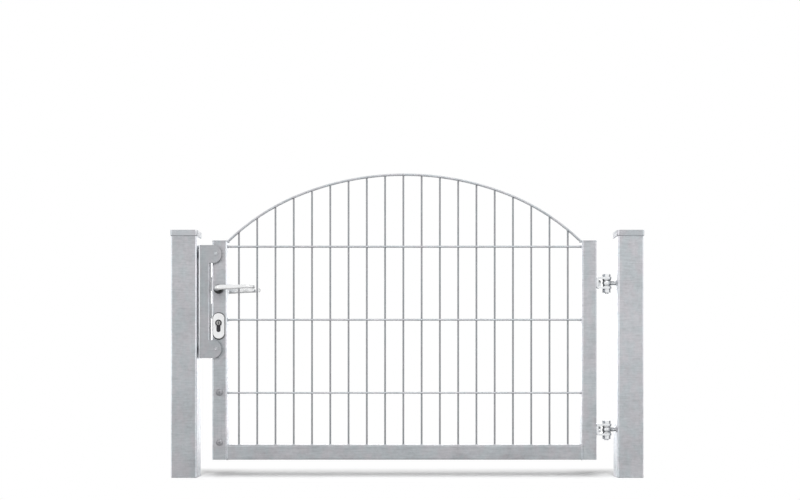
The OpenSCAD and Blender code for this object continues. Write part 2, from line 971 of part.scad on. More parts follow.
// One cross-section of the lever: an oval square to the middle line, level along its top edge
function lever_section(station) =
    let (
        share = min(1, max(0, station[0]) / (neck_bend + arm_l)),
        bent = min(1, max(0, station[0]) / neck_bend),
        height = neck_d + (tip_h - neck_d) * share,
        thick = neck_d + (arm_t - neck_d) * bent,
        rise = (neck_d - height) / 2 + arm_rise * bent
    )
    [for (k = [0 : lever_sides - 1])
        let (
            a = 360 * k / lever_sides,
            out = thick / 2 * cos(a),
            up = height / 2 * sin(a) + rise
        )
        [
            station[0] - out * sin(station[2]),
            station[1] + out * cos(station[2]),
            up
        ]
    ];

// Solid skin over the lever's cross-sections
module lever_body() {
    rings = [for (station = lever_line) lever_section(station)];
    count = len(rings);
    points = [for (ring = rings) each ring];
    walls = [for (i = [0 : count - 2], k = [0 : lever_sides - 1])
        let (next = (k + 1) % lever_sides)
        each [
            [i * lever_sides + k, (i + 1) * lever_sides + k, i * lever_sides + next],
            [i * lever_sides + next, (i + 1) * lever_sides + k, (i + 1) * lever_sides + next]
        ]
    ];
    first_end = [for (k = [0 : lever_sides - 1]) k];
    last_end = [for (k = [lever_sides - 1 : -1 : 0]) (count - 1) * lever_sides + k];
    polyhedron(points, concat(walls, [first_end, last_end]));
}

// Lever on one side of the leaf
module lever(side) {
    color("white")
        translate([lever_x, side * stile_face, lever_z])
            if (side > 0)
                lever_body();
            else
                mirror([0, 1, 0])
                    lever_body();
}

module front_lever() {
    lever(-1);
}

module rear_lever() {
    lever(1);
}

// Square spindle from one lever's neck to the other's
module lever_spindle() {
    color("gray")
        translate([lever_x, 0, lever_z])
            cube([spindle_s, tube_w + 2 * ring_gap, spindle_s], center = true);
}

// ---------- stop plate ----------

// Outline of the folded sheet seen from above, between the post and the leaf
module stop_section() {
    inner_r = fold_r - stop_t;
    width = keeper_x - flange_x;
    translate([flange_x, stop_front]) {
        translate([fold_r, 0])
            square([width - 2 * fold_r, stop_t]);
        for (side = [0, 1])
            translate([side * width, 0])
                mirror([side, 0]) {
                    translate([0, fold_r])
                        square([stop_t, flange_depth - fold_r]);
                    intersection() {
                        translate([fold_r, fold_r])
                            difference() {
                                circle(r = fold_r, $fn = fine);
                                circle(r = inner_r, $fn = fine);
                            }
                        square([fold_r, fold_r]);
                    }
                }
    }
}

// Tab that laps over the leaf, with rounded free corners
module stop_tab(low_z, height) {
    start_x = flange_x + fold_r;
    flat_x = tab_x - tab_corner;
    translate([0, stop_front + stop_t, low_z])
        rotate([90, 0, 0])
            linear_extrude(stop_t) {
                translate([start_x, 0])
                    square([flat_x - start_x, height]);
                translate([flat_x, tab_corner])
                    square([tab_corner, height - 2 * tab_corner]);
                for (z = [tab_corner, height - tab_corner])
                    translate([flat_x, z])
                        circle(r = tab_corner, $fn = fine);
            }
}

// Window in the keeper for a bolt
module keeper_window(z, height) {
    translate([
        keeper_x - stop_t - cut,
        -bolt_t / 2 - window_fit,
        z - height / 2 - window_fit
    ])
        cube([stop_t + 2 * cut, bolt_t + 2 * window_fit, height + 2 * window_fit]);
}

module stop_plate() {
    color("silver")
        difference() {
            union() {
                translate([0, 0, stop_z])
                    linear_extrude(stop_h)
                        stop_section();
                stop_tab(stop_z, lower_tab_h);
                stop_tab(recess_high, upper_tab_h);
            }
            keeper_window(latch_z, latch_h);
            keeper_window(deadbolt_z, deadbolt_h);
            for (z = stop_bolt_heights)
                translate([flange_x - cut, 0, z])
                    x_cylinder(stop_bolt_d + 2 * turn_fit, stop_t + 2 * cut);
            for (z = buffer_heights)
                translate([buffer_x, stop_front + stop_t / 2, z])
                    y_cylinder(rivet_shank + 2 * turn_fit, stop_t + 2 * cut);
        }
}

// Rubber buffer behind a tab
module stop_buffer(z) {
    pad_t = stop_stand - buffer_gap;
    color("black")
        translate([buffer_x, stop_front + stop_t + pad_t / 2, z])
            difference() {
                y_cylinder(buffer_d, pad_t);
                translate([0, -pad_t / 2, 0])
                    y_cylinder(rivet_shank + 2 * pin_gap, 2 * rivet_in);
            }
}

module upper_stop_buffer() {
    stop_buffer(buffer_heights[1]);
}

module lower_stop_buffer() {
    stop_buffer(buffer_heights[0]);
}

// Round-headed rivet that holds a buffer to its tab
module buffer_rivet(z) {
    color("gainsboro")
        translate([buffer_x, stop_front, z])
            rotate([90, 0, 0]) {
                button_head(rivet_d, rivet_h);
                translate([0, 0, -stop_t - rivet_in])
                    cylinder(d = rivet_shank, h = stop_t + rivet_in, $fn = fine);
            }
}

module upper_buffer_rivet() {
    buffer_rivet(buffer_heights[1]);
}

module lower_buffer_rivet() {
    buffer_rivet(buffer_heights[0]);
}

// Bolt through the plate's flange and a spacer into the strike post
module stop_bolt(z) {
    shank_l = stop_t + stop_post_gap + post_wall + stop_bolt_end;
    spacer_d = stop_bolt_hex + spacer_extra;
    color("lightsteelblue")
        translate([flange_x + stop_t, 0, z]) {
            rotate([0, 90, 0])
                hex_head(stop_bolt_hex, stop_head_h);
            translate([-shank_l, 0, 0])
                x_cylinder(stop_bolt_d, shank_l);
            translate([-stop_t - stop_post_gap, 0, 0])
                x_cylinder(spacer_d, stop_post_gap);
        }
}

module upper_stop_bolt() {
    stop_bolt(stop_bolt_heights[1]);
}

module lower_stop_bolt() {
    stop_bolt(stop_bolt_heights[0]);
}

// ---------- stile screws ----------

// Round-headed screw with a hexagon socket in the front of the lock stile
module stile_screw(z) {
    socket = screw_d / 2;
    color("lightgray")
        translate([leaf_left + screw_inset, -stile_face, z])
            rotate([90, 0, 0])
                difference() {
                    union() {
                        button_head(screw_head_d, screw_head_h);
                        translate([0, 0, -screw_l])
                            cylinder(d = screw_d, h = screw_l, $fn = fine);
                    }
                    translate([0, 0, screw_head_h / 2])
                        hex_prism(socket, screw_head_h);
                }
}

module upper_stile_screw() {
    stile_screw(screw_heights[1]);
}

module lower_stile_screw() {
    stile_screw(screw_heights[0]);
}

strike_post();
hinge_post();
strike_post_cap();
hinge_post_cap();
upper_eye_bolt();
lower_eye_bolt();
upper_eye_bush();
lower_eye_bush();
stop_plate();
upper_stop_buffer();
lower_stop_buffer();
upper_buffer_rivet();
lower_buffer_rivet();
upper_stop_bolt();
lower_stop_bolt();
lock_stile();
hinge_stile();
bottom_rail();
lock_stile_end();
hinge_stile_end();
mesh_panel();
upper_hinge_bracket();
lower_hinge_bracket();
upper_hinge_pin();
lower_hinge_pin();
upper_hinge_nut();
lower_hinge_nut();
upper_hinge_washers();
lower_hinge_washers();
upper_bracket_bolt();
lower_bracket_bolt();
mortise_lock();
latch_bolt();
dead_bolt();
profile_cylinder();
front_escutcheon();
rear_escutcheon();
front_lever_ring();
rear_lever_ring();
upper_stile_screw();
lower_stile_screw();
front_lever();
rear_lever();
lever_spindle();
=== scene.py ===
# %% [markdown]
# # An arched garden gate in hot-dip galvanised steel
# The gate's solids are already packed: posts, leaf, hinges and lock, each as a node in metres.
# This lesson dresses them. It keeps every solid whose shape is right and gives it a better surface,
# and it makes anew only what a maker would see is missing: round rods, weld beads and screw threads.
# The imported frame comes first, because the new pieces' places are worked out from it.

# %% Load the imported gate
import json
import math
import random

import bmesh
import bpy
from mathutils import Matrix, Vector


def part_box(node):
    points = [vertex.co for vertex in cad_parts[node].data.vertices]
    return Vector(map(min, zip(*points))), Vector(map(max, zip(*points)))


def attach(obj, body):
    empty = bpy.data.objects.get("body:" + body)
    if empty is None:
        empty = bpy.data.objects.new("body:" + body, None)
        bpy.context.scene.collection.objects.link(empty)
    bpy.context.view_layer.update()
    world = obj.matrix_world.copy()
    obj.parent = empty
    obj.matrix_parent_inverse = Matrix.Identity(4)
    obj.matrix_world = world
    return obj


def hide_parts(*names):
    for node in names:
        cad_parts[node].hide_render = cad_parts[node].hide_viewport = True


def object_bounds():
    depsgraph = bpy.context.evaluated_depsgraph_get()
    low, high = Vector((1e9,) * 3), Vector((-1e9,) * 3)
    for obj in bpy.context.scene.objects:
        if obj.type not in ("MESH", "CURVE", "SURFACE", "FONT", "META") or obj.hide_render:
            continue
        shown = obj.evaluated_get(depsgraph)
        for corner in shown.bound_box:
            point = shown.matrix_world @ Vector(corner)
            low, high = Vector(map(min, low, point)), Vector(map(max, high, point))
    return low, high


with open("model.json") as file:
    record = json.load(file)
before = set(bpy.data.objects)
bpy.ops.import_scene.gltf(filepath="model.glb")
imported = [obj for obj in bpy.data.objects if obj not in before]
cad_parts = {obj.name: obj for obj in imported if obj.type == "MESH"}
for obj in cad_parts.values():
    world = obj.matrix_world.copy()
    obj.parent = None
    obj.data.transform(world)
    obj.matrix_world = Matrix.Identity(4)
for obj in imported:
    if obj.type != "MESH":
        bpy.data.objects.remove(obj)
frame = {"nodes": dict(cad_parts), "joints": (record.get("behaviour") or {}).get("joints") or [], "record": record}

MM = 0.001
cad_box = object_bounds()

# %% [markdown]
# ## The view
# A gate in a catalogue is shown straight on, with its uprights parallel in the picture.
# Tilting a camera would make the posts lean together, so the camera stays level, low over the ground,
# and its lens is shifted upwards until the whole arch is in the picture.
# The lens follows from two lengths that are easy to judge: how far away the camera stands,
# and how much of the gate's plane the picture is wide.

# %% Camera
VIEW_DISTANCE = 3.2
VIEW_WIDTH = 2.19
VIEW_HEIGHT = 0.25
PICTURE_CENTRE_X = -0.6252
PICTURE_CENTRE_Z = 0.621
SENSOR_WIDTH = 36.0


def add_camera():
    camera = bpy.data.cameras.new("level_camera")
    camera.sensor_width = SENSOR_WIDTH
    camera.lens = SENSOR_WIDTH * VIEW_DISTANCE / VIEW_WIDTH
    camera.shift_y = (PICTURE_CENTRE_Z - VIEW_HEIGHT) / VIEW_WIDTH
    stand = bpy.data.objects.new("level_camera", camera)
    stand.location = (PICTURE_CENTRE_X, -VIEW_DISTANCE, VIEW_HEIGHT)
    stand.rotation_euler = (math.radians(90), 0, 0)
    bpy.context.scene.collection.objects.link(stand)
    bpy.context.scene.camera = stand
    return camera


camera = add_camera()
print("lens", round(camera.lens, 1), "mm, shift", round(camera.shift_y, 3))

# %% [markdown]
# ## Building shader trees
# Each finish below is a small tree of texture nodes. Wiring them one by one is long and hard to read,
# so one helper makes a node, sets its options and fills or links its inputs in a single call.
# Values that are the same all over a surface go straight on the shader's own inputs.

# %% Helpers for materials
def add_node(tree, kind, inputs=None, **options):
    made = tree.nodes.new("ShaderNode" + kind)
    for key, value in options.items():
        setattr(made, key, value)
    for key, value in (inputs or {}).items():
        if isinstance(value, bpy.types.NodeSocket):
            tree.links.new(value, made.inputs[key])
        else:
            made.inputs[key].default_value = value
    return made


def new_finish(name, **settings):
    material = bpy.data.materials.new(name)
    material.use_nodes = True
    tree = material.node_tree
    tree.nodes.clear()
    shader = add_node(tree, "BsdfPrincipled", settings)
    add_node(tree, "OutputMaterial", {"Surface": shader.outputs["BSDF"]})
    return material, tree, shader


def stretched_place(tree, stretch):
    place = add_node(tree, "TexCoord").outputs["Object"]
    return add_node(tree, "Mapping", {"Vector": place, "Scale": stretch}).outputs["Vector"]


def noise(tree, place, scale, detail=3.0, roughness=0.55):
    inputs = {"Vector": place, "Scale": scale, "Detail": detail, "Roughness": roughness}
    return add_node(tree, "TexNoise", inputs).outputs[0]


def spread(tree, value, low, high, to_low=0.0, to_high=1.0):
    inputs = {"Value": value, "From Min": low, "From Max": high, "To Min": to_low, "To Max": to_high}
    return add_node(tree, "MapRange", inputs).outputs["Result"]


def ramp(tree, value, *stops):
    made = add_node(tree, "ValToRGB", {"Fac": value})
    band = made.color_ramp
    while len(band.elements) < len(stops):
        band.elements.new(0.5)
    for element, (position, colour) in zip(band.elements, stops):
        element.position = position
        element.color = (*colour, 1)
    return made.outputs["Color"]


def blend_colours(tree, factor, first, second, how="MIX"):
    made = add_node(tree, "Mix", {0: factor, 6: first, 7: second}, data_type="RGBA", blend_type=how)
    return made.outputs[2]


def blend_values(tree, first, second, share):
    made = add_node(tree, "Mix", {0: share, 2: first, 3: second}, data_type="FLOAT")
    return made.outputs[0]


def bump(tree, shader, height, depth_mm, strength):
    inputs = {"Height": height, "Distance": depth_mm * MM, "Strength": strength}
    tree.links.new(add_node(tree, "Bump", inputs).outputs["Normal"], shader.inputs["Normal"])


# %% [markdown]
# ## Painted shade in gaps
# Where two pieces of steel nearly touch, little light gets in, and that shade is painted on.
# Blender can measure how open a point is: the Ambient Occlusion node looks around
# within a few millimetres and gives 1 for open metal and less in a corner.
# From it the colour goes over to a blue-black tone of painted shade, and the glare that metal has
# at a slant is cut, a painted shade in reflections, because a gap mirrors only its own other side.

# %% Helpers for painted shade in gaps
GAP_REACH = 4.5 * MM
GAP_SAMPLES = 6
GAP_SHADE_TONE = (0.05, 0.055, 0.08, 1)
GAP_SHADE_DEPTH = 0.8
SHADED_UNTIL_OPEN = (0.2, 0.75)
NO_GLARE_UNTIL_OPEN = (0.1, 0.6)


def how_open(tree):
    return add_node(tree, "AmbientOcclusion", {"Distance": GAP_REACH}, samples=GAP_SAMPLES).outputs["AO"]


# Painted shade: the colour goes over to a blue-black tone where a point is closed in.
def paint_gap_shade(tree, openness, colour, depth):
    closed = spread(tree, openness, *SHADED_UNTIL_OPEN, depth, 0.0)
    return blend_colours(tree, closed, colour, GAP_SHADE_TONE)


def glare_of_open_metal(tree, openness):
    return spread(tree, openness, *NO_GLARE_UNTIL_OPEN)


# %% [markdown]
# ## Which way a face looks
# On straight tubes and folded plates the side faces and rounded corners get painted light and painted shade,
# other tones than the fronts. The surface's own normal in object space tells them apart without a finish for every
# face, and because it belongs to the piece, the painted light and shade go with the leaf when it swings.

# %% Helpers for the facing of a surface
IS_CORNER = (0.12, 0.42)
IS_SIDE = (0.7, 0.95)
EDGE_LIGHT_GAIN = 1.6
SIDE_LIGHT_GAIN = 1.4


def combine(tree, how, first, second):
    return add_node(tree, "Math", {0: first, 1: second}, operation=how).outputs[0]


def facing_parts(tree):
    return add_node(tree, "SeparateXYZ", {0: add_node(tree, "TexCoord").outputs["Normal"]}).outputs


def facing_aside(tree):
    return combine(tree, "ABSOLUTE", facing_parts(tree)[0], 0.0)


# Painted light: rounded corners and side faces are made lighter than the fronts.
def paint_light_on_edges(tree, colour, gain):
    facing = facing_parts(tree)
    corner = combine(tree, "ABSOLUTE", combine(tree, "MULTIPLY", facing[0], facing[1]), 0.0)
    at_corner = spread(tree, corner, *IS_CORNER, 1.0, gain)
    at_side = spread(tree, facing_aside(tree), *IS_SIDE, 1.0, SIDE_LIGHT_GAIN)
    return blend_colours(tree, 1.0, colour, combine(tree, "MAXIMUM", at_corner, at_side), "MULTIPLY")


# %% [markdown]
# The stop plate has one thing more, painted light. Its folded keeper, behind the tabs, where the bolts slide,
# is painted lighter and made glossier, and the fold on the post's side gets a painted highlight.
# Both are found from where a point lies and which way it looks.

# %% Painted light on the stop plate
SHEET_T = 4 * MM
KEEPER_GAP = 5.3 * MM
KEEPER_FADE = 0.5 * MM
# Painted light on the keeper and painted highlight on the fold.
KEEPER_LIGHT_TONE = (0.7, 0.71, 0.73, 1)
FOLD_HIGHLIGHT_TONE = (0.92, 0.93, 0.95, 1)
IS_FOLD = (0.1, 0.3)
KEEPER_AND_FOLD_GLOSS = 0.28
KEEPER_LIGHT_FROM = (-8 * MM, -4 * MM)
KEEPER_LIGHT_IN_FRONT = 0.3
SHEET_GLARE = 0.55
keeper_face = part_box("lock_stile")[0].x - KEEPER_GAP - SHEET_T


def painted_light_places(tree):
    place = add_node(tree, "SeparateXYZ", {0: add_node(tree, "TexCoord").outputs["Object"]}).outputs
    in_keeper = spread(tree, place[0], keeper_face - KEEPER_FADE, keeper_face)
    aside = facing_parts(tree)[0]
    behind_tabs = spread(tree, place[1], *KEEPER_LIGHT_FROM)
    beside_tabs = spread(tree, aside, *IS_SIDE, 0.0, KEEPER_LIGHT_IN_FRONT)
    reach = combine(tree, "MAXIMUM", behind_tabs, beside_tabs)
    keeper = combine(tree, "MULTIPLY", in_keeper, reach)
    fold = spread(tree, combine(tree, "MULTIPLY", aside, -1.0), *IS_FOLD)
    return keeper, fold


print("rubbed keeper at x =", round(keeper_face / MM, 1), "mm")

# %% [markdown]
# ## Hot-dip galvanised steel
# The posts and the frame are dipped whole into molten zinc. The skin that sets on them is a dull,
# mottled grey: broad bluish and pinkish clouds, faint streaks where the zinc ran down as the tube
# was lifted out, short scuffs across the tube, small crystals, and a few dark grains of ash.
# Each of these is a noise of its own size, and streaks and scuffs are noises drawn out to a side.
# A printed pattern would repeat and show seams. Noise placed in object space does neither.
# No two pieces leave the bath with the same tone, so one recipe is called once for each kind of piece.

# %% Galvanised finish
ALONG_Z = (1.0, 1.0, 0.07)
ALONG_X = (0.07, 1.0, 1.0)
ANY_WAY = (1.0, 1.0, 1.0)
SCUFF_RUN = (0.1, 0.1, 1.0)
TINT_RUN = (1.0, 1.0, 0.6)
# Scale, detail and roughness of each noise
CLOUDS = (14, 4, 0.6)
STREAKS = (110, 5, 0.62)
SCUFFS = (330, 4, 0.62)
PATCHES = (130, 4, 0.65)
TINT_CLOUDS = (34, 4, 0.6)
ASH_GRAINS = (330, 2, 0.5)
CRYSTAL_SCALE = 230.0
ASH_TONE = (0.2, 0.2, 0.21, 1)
ASH_SHARE = 0.35
SKIN_DEPTH_MM = 0.3


def galvanised(name, run, tone, wear=1.0, roughness=0.5, edge_light_gain=EDGE_LIGHT_GAIN, side_shade=1.0,
               gap_shade=GAP_SHADE_DEPTH, keeper_and_fold_light=False):
    material, tree, shader = new_finish(name, Metallic=0.9)
    plain = stretched_place(tree, ANY_WAY)
    streaks = noise(tree, stretched_place(tree, run), *STREAKS)
    scuffs = noise(tree, stretched_place(tree, SCUFF_RUN), *SCUFFS)
    patches = noise(tree, plain, *PATCHES)
    crystals = add_node(tree, "TexVoronoi", {"Vector": plain, "Scale": CRYSTAL_SCALE, "Randomness": 1.0})
    crystal_tone = add_node(tree, "SeparateColor", {"Color": crystals.outputs["Color"]}).outputs[0]
    mottle = noise(tree, plain, *CLOUDS)
    for layer, share in ((streaks, 0.4), (patches, 0.35), (scuffs, 0.35), (crystal_tone, 0.06)):
        mottle = blend_values(tree, mottle, layer, share)
    dark, light = 1 - 0.2 * wear, 1 + 0.18 * wear
    zinc = ramp(
        tree, mottle,
        (0.37, [tone * dark * part for part in (0.97, 0.99, 1.02)]),
        (0.5, [tone * part for part in (0.975, 1.0, 1.03)]),
        (0.63, [tone * light * part for part in (0.985, 1.0, 1.02)]),
    )
    tint = ramp(
        tree, noise(tree, stretched_place(tree, TINT_RUN), *TINT_CLOUDS),
        (0.4, (0.965, 1.0, 1.015)),
        (0.6, (1.02, 0.99, 1.01)),
    )
    zinc = blend_colours(tree, 1.0, zinc, tint, "MULTIPLY")
    ash = spread(tree, noise(tree, plain, *ASH_GRAINS), 0.68, 0.74)
    zinc = blend_colours(tree, blend_values(tree, 0.0, ash, ASH_SHARE * wear), zinc, ASH_TONE)
    # Painted light on corners and side faces.
    if edge_light_gain > 1.0:
        zinc = paint_light_on_edges(tree, zinc, edge_light_gain)
    # Painted shade in gaps, from how open each point is.
    openness = how_open(tree)
    zinc = paint_gap_shade(tree, openness, zinc, gap_shade)
    gloss = blend_values(tree, streaks, crystal_tone, 0.35)
    dull = spread(tree, gloss, 0.3, 0.7, roughness - 0.1, roughness + 0.1)
    # Painted shade: faces turned aside, such as a cap's skirt, are darker, in colour and in glare.
    if side_shade < 1.0:
        glare = spread(tree, facing_aside(tree), *IS_SIDE, 1.0, side_shade)
        zinc = blend_colours(tree, 1.0, zinc, glare, "MULTIPLY")
    # Painted light: the stop plate's keeper and fold are lighter and glossier.
    elif keeper_and_fold_light:
        keeper, fold = painted_light_places(tree)
        lit = combine(tree, "MAXIMUM", keeper, fold)
        glare = spread(tree, lit, 0, 1, SHEET_GLARE, 1.0)
        zinc = blend_colours(tree, fold, blend_colours(tree, keeper, zinc, KEEPER_LIGHT_TONE), FOLD_HIGHLIGHT_TONE)
        dull = blend_values(tree, dull, KEEPER_AND_FOLD_GLOSS, lit)
    else:
        glare = glare_of_open_metal(tree, openness)
    tree.links.new(glare, shader.inputs["Specular Tint"])
    tree.links.new(zinc, shader.inputs["Base Color"])
    tree.links.new(dull, shader.inputs["Roughness"])
    bump(tree, shader, blend_values(tree, patches, streaks, 0.4), SKIN_DEPTH_MM, 0.35 * wear)
    return material


# %% [markdown]
# The tubes differ in tone and in the run of their streaks, and in how much painted light lies on their
# corners and painted shade in their gaps. The caps are pressed from sheet, smoother than the tubes,
# with painted shade on the skirt at the sides. Rods are thin, so they carry less wear and get no painted
# light on corners. Screw and rivet heads are small, round and rather smooth.

# %% The galvanised pieces
tube_upright = galvanised("zinc_on_upright_tube", ALONG_Z, 0.46)
tube_strike = galvanised("zinc_on_strike_post", ALONG_Z, 0.43, edge_light_gain=2.0, gap_shade=1.0)
tube_hinge = galvanised("zinc_on_hinge_post", ALONG_Z, 0.49)
tube_lock = galvanised("zinc_on_lock_stile", ALONG_Z, 0.43, edge_light_gain=2.2, gap_shade=0.4)
tube_level = galvanised("zinc_on_level_tube", ALONG_X, 0.435)
cap_zinc = galvanised("zinc_on_cap", ANY_WAY, 0.45, wear=0.4, roughness=0.46, side_shade=0.68)
# Painted shade on the uprights and painted light on the cross rods: one zinc in two tones.
shaded_upright_zinc = galvanised("zinc_on_upright_rods_shaded", ANY_WAY, 0.31, wear=0.8, roughness=0.44, edge_light_gain=1.0)
lit_cross_zinc = galvanised("zinc_on_cross_rods_lit", ANY_WAY, 0.53, wear=0.8, roughness=0.44, edge_light_gain=1.0)
sheet_zinc = galvanised("zinc_on_stop_plate", ALONG_Z, 0.375, wear=0.9, roughness=0.48, keeper_and_fold_light=True)
screw_zinc = galvanised("zinc_on_screw_heads", ANY_WAY, 0.34, wear=0.6, roughness=0.36, edge_light_gain=1.0)
rivet_zinc = galvanised("zinc_on_rivet_heads", ANY_WAY, 0.45, wear=0.6, roughness=0.36, edge_light_gain=1.0)
print("galvanised finishes:", sum(finish.name.startswith("zinc_on") for finish in bpy.data.materials))

# %% [markdown]
# ## Fittings
# The hinges are bright zinc-plated: smoother and whiter than the dipped parts, with a cool tint
# and fine turning marks. The lock's works are satin nickel, and its cylinder is near black round
# a worn plug, painted shade and dark reflection in the cylinder's recess. The levers and escutcheons
# are polished stainless steel, where only faint brushing and a few finger marks break the reflection.
# Small bright parts melt into one pale blot unless some of their faces are darker than others,
# so faces turned down, up or aside get painted shade from the surface's own normal.
# One recipe serves all these metals.

# %% Bright metal finishes
BRUSH_RUN = (0.06, 1.0, 1.0)
BRUSH_LINES = (1500, 3, 0.6)
SMEARS = (60, 4, 0.6)
BRUSH_DEPTH_MM = 0.05
IS_TURNED_AWAY = (0.45, 0.85)
BRIGHT_GAP_SHADE = 0.85


def paint_shade_on_turned(tree, colour, depth, right=0.0, left=0.0, below=0.0, above=0.0):
    facing = facing_parts(tree)
    aside = combine(tree, "MAXIMUM", combine(tree, "MULTIPLY", facing[0], right),
                    combine(tree, "MULTIPLY", facing[0], -left))
    level = combine(tree, "MAXIMUM", combine(tree, "MULTIPLY", facing[2], above),
                    combine(tree, "MULTIPLY", facing[2], -below))
    away = combine(tree, "MAXIMUM", aside, level)
    shade = spread(tree, away, *IS_TURNED_AWAY, 1.0, 1.0 - depth)
    return blend_colours(tree, 1.0, colour, shade, "MULTIPLY")


def bright_metal(name, colour, roughness, brushing, marks, turned=None, gap_shade=BRIGHT_GAP_SHADE):
    material, tree, shader = new_finish(name, Metallic=1.0)
    plain = stretched_place(tree, ANY_WAY)
    fine = noise(tree, stretched_place(tree, BRUSH_RUN), *BRUSH_LINES)
    smears = noise(tree, plain, *SMEARS)
    dull = [part * (1 - marks) for part in colour]
    metal = ramp(tree, blend_values(tree, smears, fine, 0.35), (0.36, dull), (0.62, colour))
    # Painted shade on faces turned away from the front.
    if turned:
        metal = paint_shade_on_turned(tree, metal, **turned)
    # Painted shade in gaps, from how open each point is.
    openness = how_open(tree)
    metal = paint_gap_shade(tree, openness, metal, gap_shade)
    worn = blend_values(tree, smears, fine, 0.5)
    gloss = spread(tree, worn, 0.3, 0.7, roughness * 0.75, roughness * 1.3)
    tree.links.new(glare_of_open_metal(tree, openness), shader.inputs["Specular Tint"])
    tree.links.new(metal, shader.inputs["Base Color"])
    tree.links.new(gloss, shader.inputs["Roughness"])
    bump(tree, shader, fine, BRUSH_DEPTH_MM, brushing)
    return material


HINGE_SHADE = {"depth": 0.6, "right": 1.0, "below": 0.7, "above": 0.75}
LEVER_SHADE = {"depth": 0.35, "below": 1.0}
RIM_SHADE = {"depth": 0.8, "right": 0.6, "left": 1.3, "below": 1.3, "above": 1.3}
plated = bright_metal("bright_zinc_plate", (0.87, 0.885, 0.9), 0.26, 0.4, 0.12, HINGE_SHADE, 0.25)
nickelled = bright_metal("satin_nickel", (0.6, 0.59, 0.56), 0.34, 0.5, 0.2)
# Painted shade and dark reflection: the cylinder is coloured near black.
painted_dark_cylinder = bright_metal("cylinder_painted_dark", (0.06, 0.06, 0.065), 0.26, 0.3, 0.4)
plug_metal = bright_metal("worn_plug", (0.5, 0.5, 0.49), 0.22, 0.4, 0.5)
polished = bright_metal("polished_stainless", (0.88, 0.885, 0.89), 0.2, 0.2, 0.08, LEVER_SHADE)
escutcheon_steel = bright_metal("escutcheon_stainless", (0.86, 0.865, 0.87), 0.2, 0.2, 0.08, RIM_SHADE)
print("metal finishes in all:", len(bpy.data.materials))

# %% [markdown]
# The bearing rings are black nylon, the escutcheons' underlays dark grey nylon and the buffers black
# rubber. None of them is one flat colour: nylon has a fine moulded grain and a soft sheen,
# and rubber is duller, with a grey bloom on it.

# %% Nylon and rubber
GRAIN = (1100, 3, 0.6)
BLOOM_PATCHES = (90, 4, 0.6)


def moulded(name, dark, bloom, roughness, grain_mm):
    material, tree, shader = new_finish(name, Metallic=0.0)
    plain = stretched_place(tree, ANY_WAY)
    grain = noise(tree, plain, *GRAIN)
    patches = noise(tree, plain, *BLOOM_PATCHES)
    sheen = spread(tree, grain, 0.3, 0.7, roughness - 0.08, roughness + 0.08)
    tree.links.new(ramp(tree, patches, (0.35, dark), (0.7, bloom)), shader.inputs["Base Color"])
    tree.links.new(sheen, shader.inputs["Roughness"])
    bump(tree, shader, grain, grain_mm, 0.4)
    return material


nylon = moulded("black_nylon", (0.012, 0.012, 0.013), (0.022, 0.022, 0.023), 0.36, 0.06)
# The underlays' grey rim draws painted shade round the escutcheons.
grey_nylon_shade_line = moulded("grey_nylon_shade_line", (0.06, 0.06, 0.062), (0.09, 0.09, 0.092), 0.4, 0.06)
rubber = moulded("black_rubber", (0.015, 0.015, 0.015), (0.04, 0.039, 0.038), 0.62, 0.12)
print("finishes in all:", len(bpy.data.materials))

# %% [markdown]
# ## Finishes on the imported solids
# Every node names the slot that its finish belongs to. A few pieces get a finish of their own instead:
# each post and the lock stile have their own tone of zinc, the bottom rail lies down, so its streaks
# run sideways, and the cylinder, the escutcheons, the screws and the rivets differ from their slots.
# A solid from CAD has razor edges that catch no light. A narrow bevel modifier rounds them as the
# real piece's edges are rounded, and leaves the solid's own mesh alone.

# %% Dress the solids
FINISH = {
    "galvanised_tube": tube_upright,
    "galvanised_cap": cap_zinc,
    "galvanised_rod": lit_cross_zinc,
    "galvanised_sheet": sheet_zinc,
    "zinc_plated_steel": plated,
    "nickelled_steel": nickelled,
    "polished_steel": polished,
    "black_plastic": nylon,
    "buffer_rubber": rubber,
}
OWN_FINISH = {
    "bottom_rail": tube_level,
    "strike_post": tube_strike,
    "hinge_post": tube_hinge,
    "lock_stile": tube_lock,
    "profile_cylinder": painted_dark_cylinder,
    "front_escutcheon": escutcheon_steel,
    "rear_escutcheon": escutcheon_steel,
}
for level in ("upper", "lower"):
    OWN_FINISH[level + "_stile_screw"] = screw_zinc
    OWN_FINISH[level + "_buffer_rivet"] = rivet_zinc
SLOT_OF = {part["node"]: part["material_slot"] for part in frame["record"]["subparts"]}
EDGE_MM = {
    "galvanised_tube": 0.5,
    "galvanised_cap": 0.9,
    "galvanised_sheet": 0.6,
    "zinc_plated_steel": 0.3,
    "nickelled_steel": 0.25,
    "polished_steel": 0.3,
    "black_plastic": 0.3,
    "buffer_rubber": 0.5,
}
SAME_POINT = 0.01 * MM
SHARP_FROM = math.radians(40)


def soften_edges(piece, width_mm):
    weld = piece.modifiers.new("join_faces", "WELD")
    weld.merge_threshold = SAME_POINT
    bevel = piece.modifiers.new("soft_edges", "BEVEL")
    bevel.width = width_mm * MM
    bevel.segments = 2
    bevel.limit_method = "ANGLE"
    bevel.angle_limit = SHARP_FROM
    bevel.use_clamp_overlap = True
    bevel.harden_normals = True


for name, solid in frame["nodes"].items():
    finish = OWN_FINISH.get(name, FINISH[SLOT_OF[name]])
    for slot in solid.material_slots:
        slot.material = finish
    if SLOT_OF[name] in EDGE_MM:
        soften_edges(solid, EDGE_MM[SLOT_OF[name]])
print("dressed", len(frame["nodes"]), "solids")

# %% [markdown]
# ## A workshop for new pieces
# Rods, levers, threads and weld beads are all skins drawn over rings of points.
# A ring goes round the piece at one place, and quads join it to the next ring.
# The only things that change from piece to piece are where the rings lie and what shape each one has,
# so a few small helpers do all the work: one lists the angles round a ring, one skins rings,
# one closes a mesh into a piece of the gate, and one places a round section square to a path.

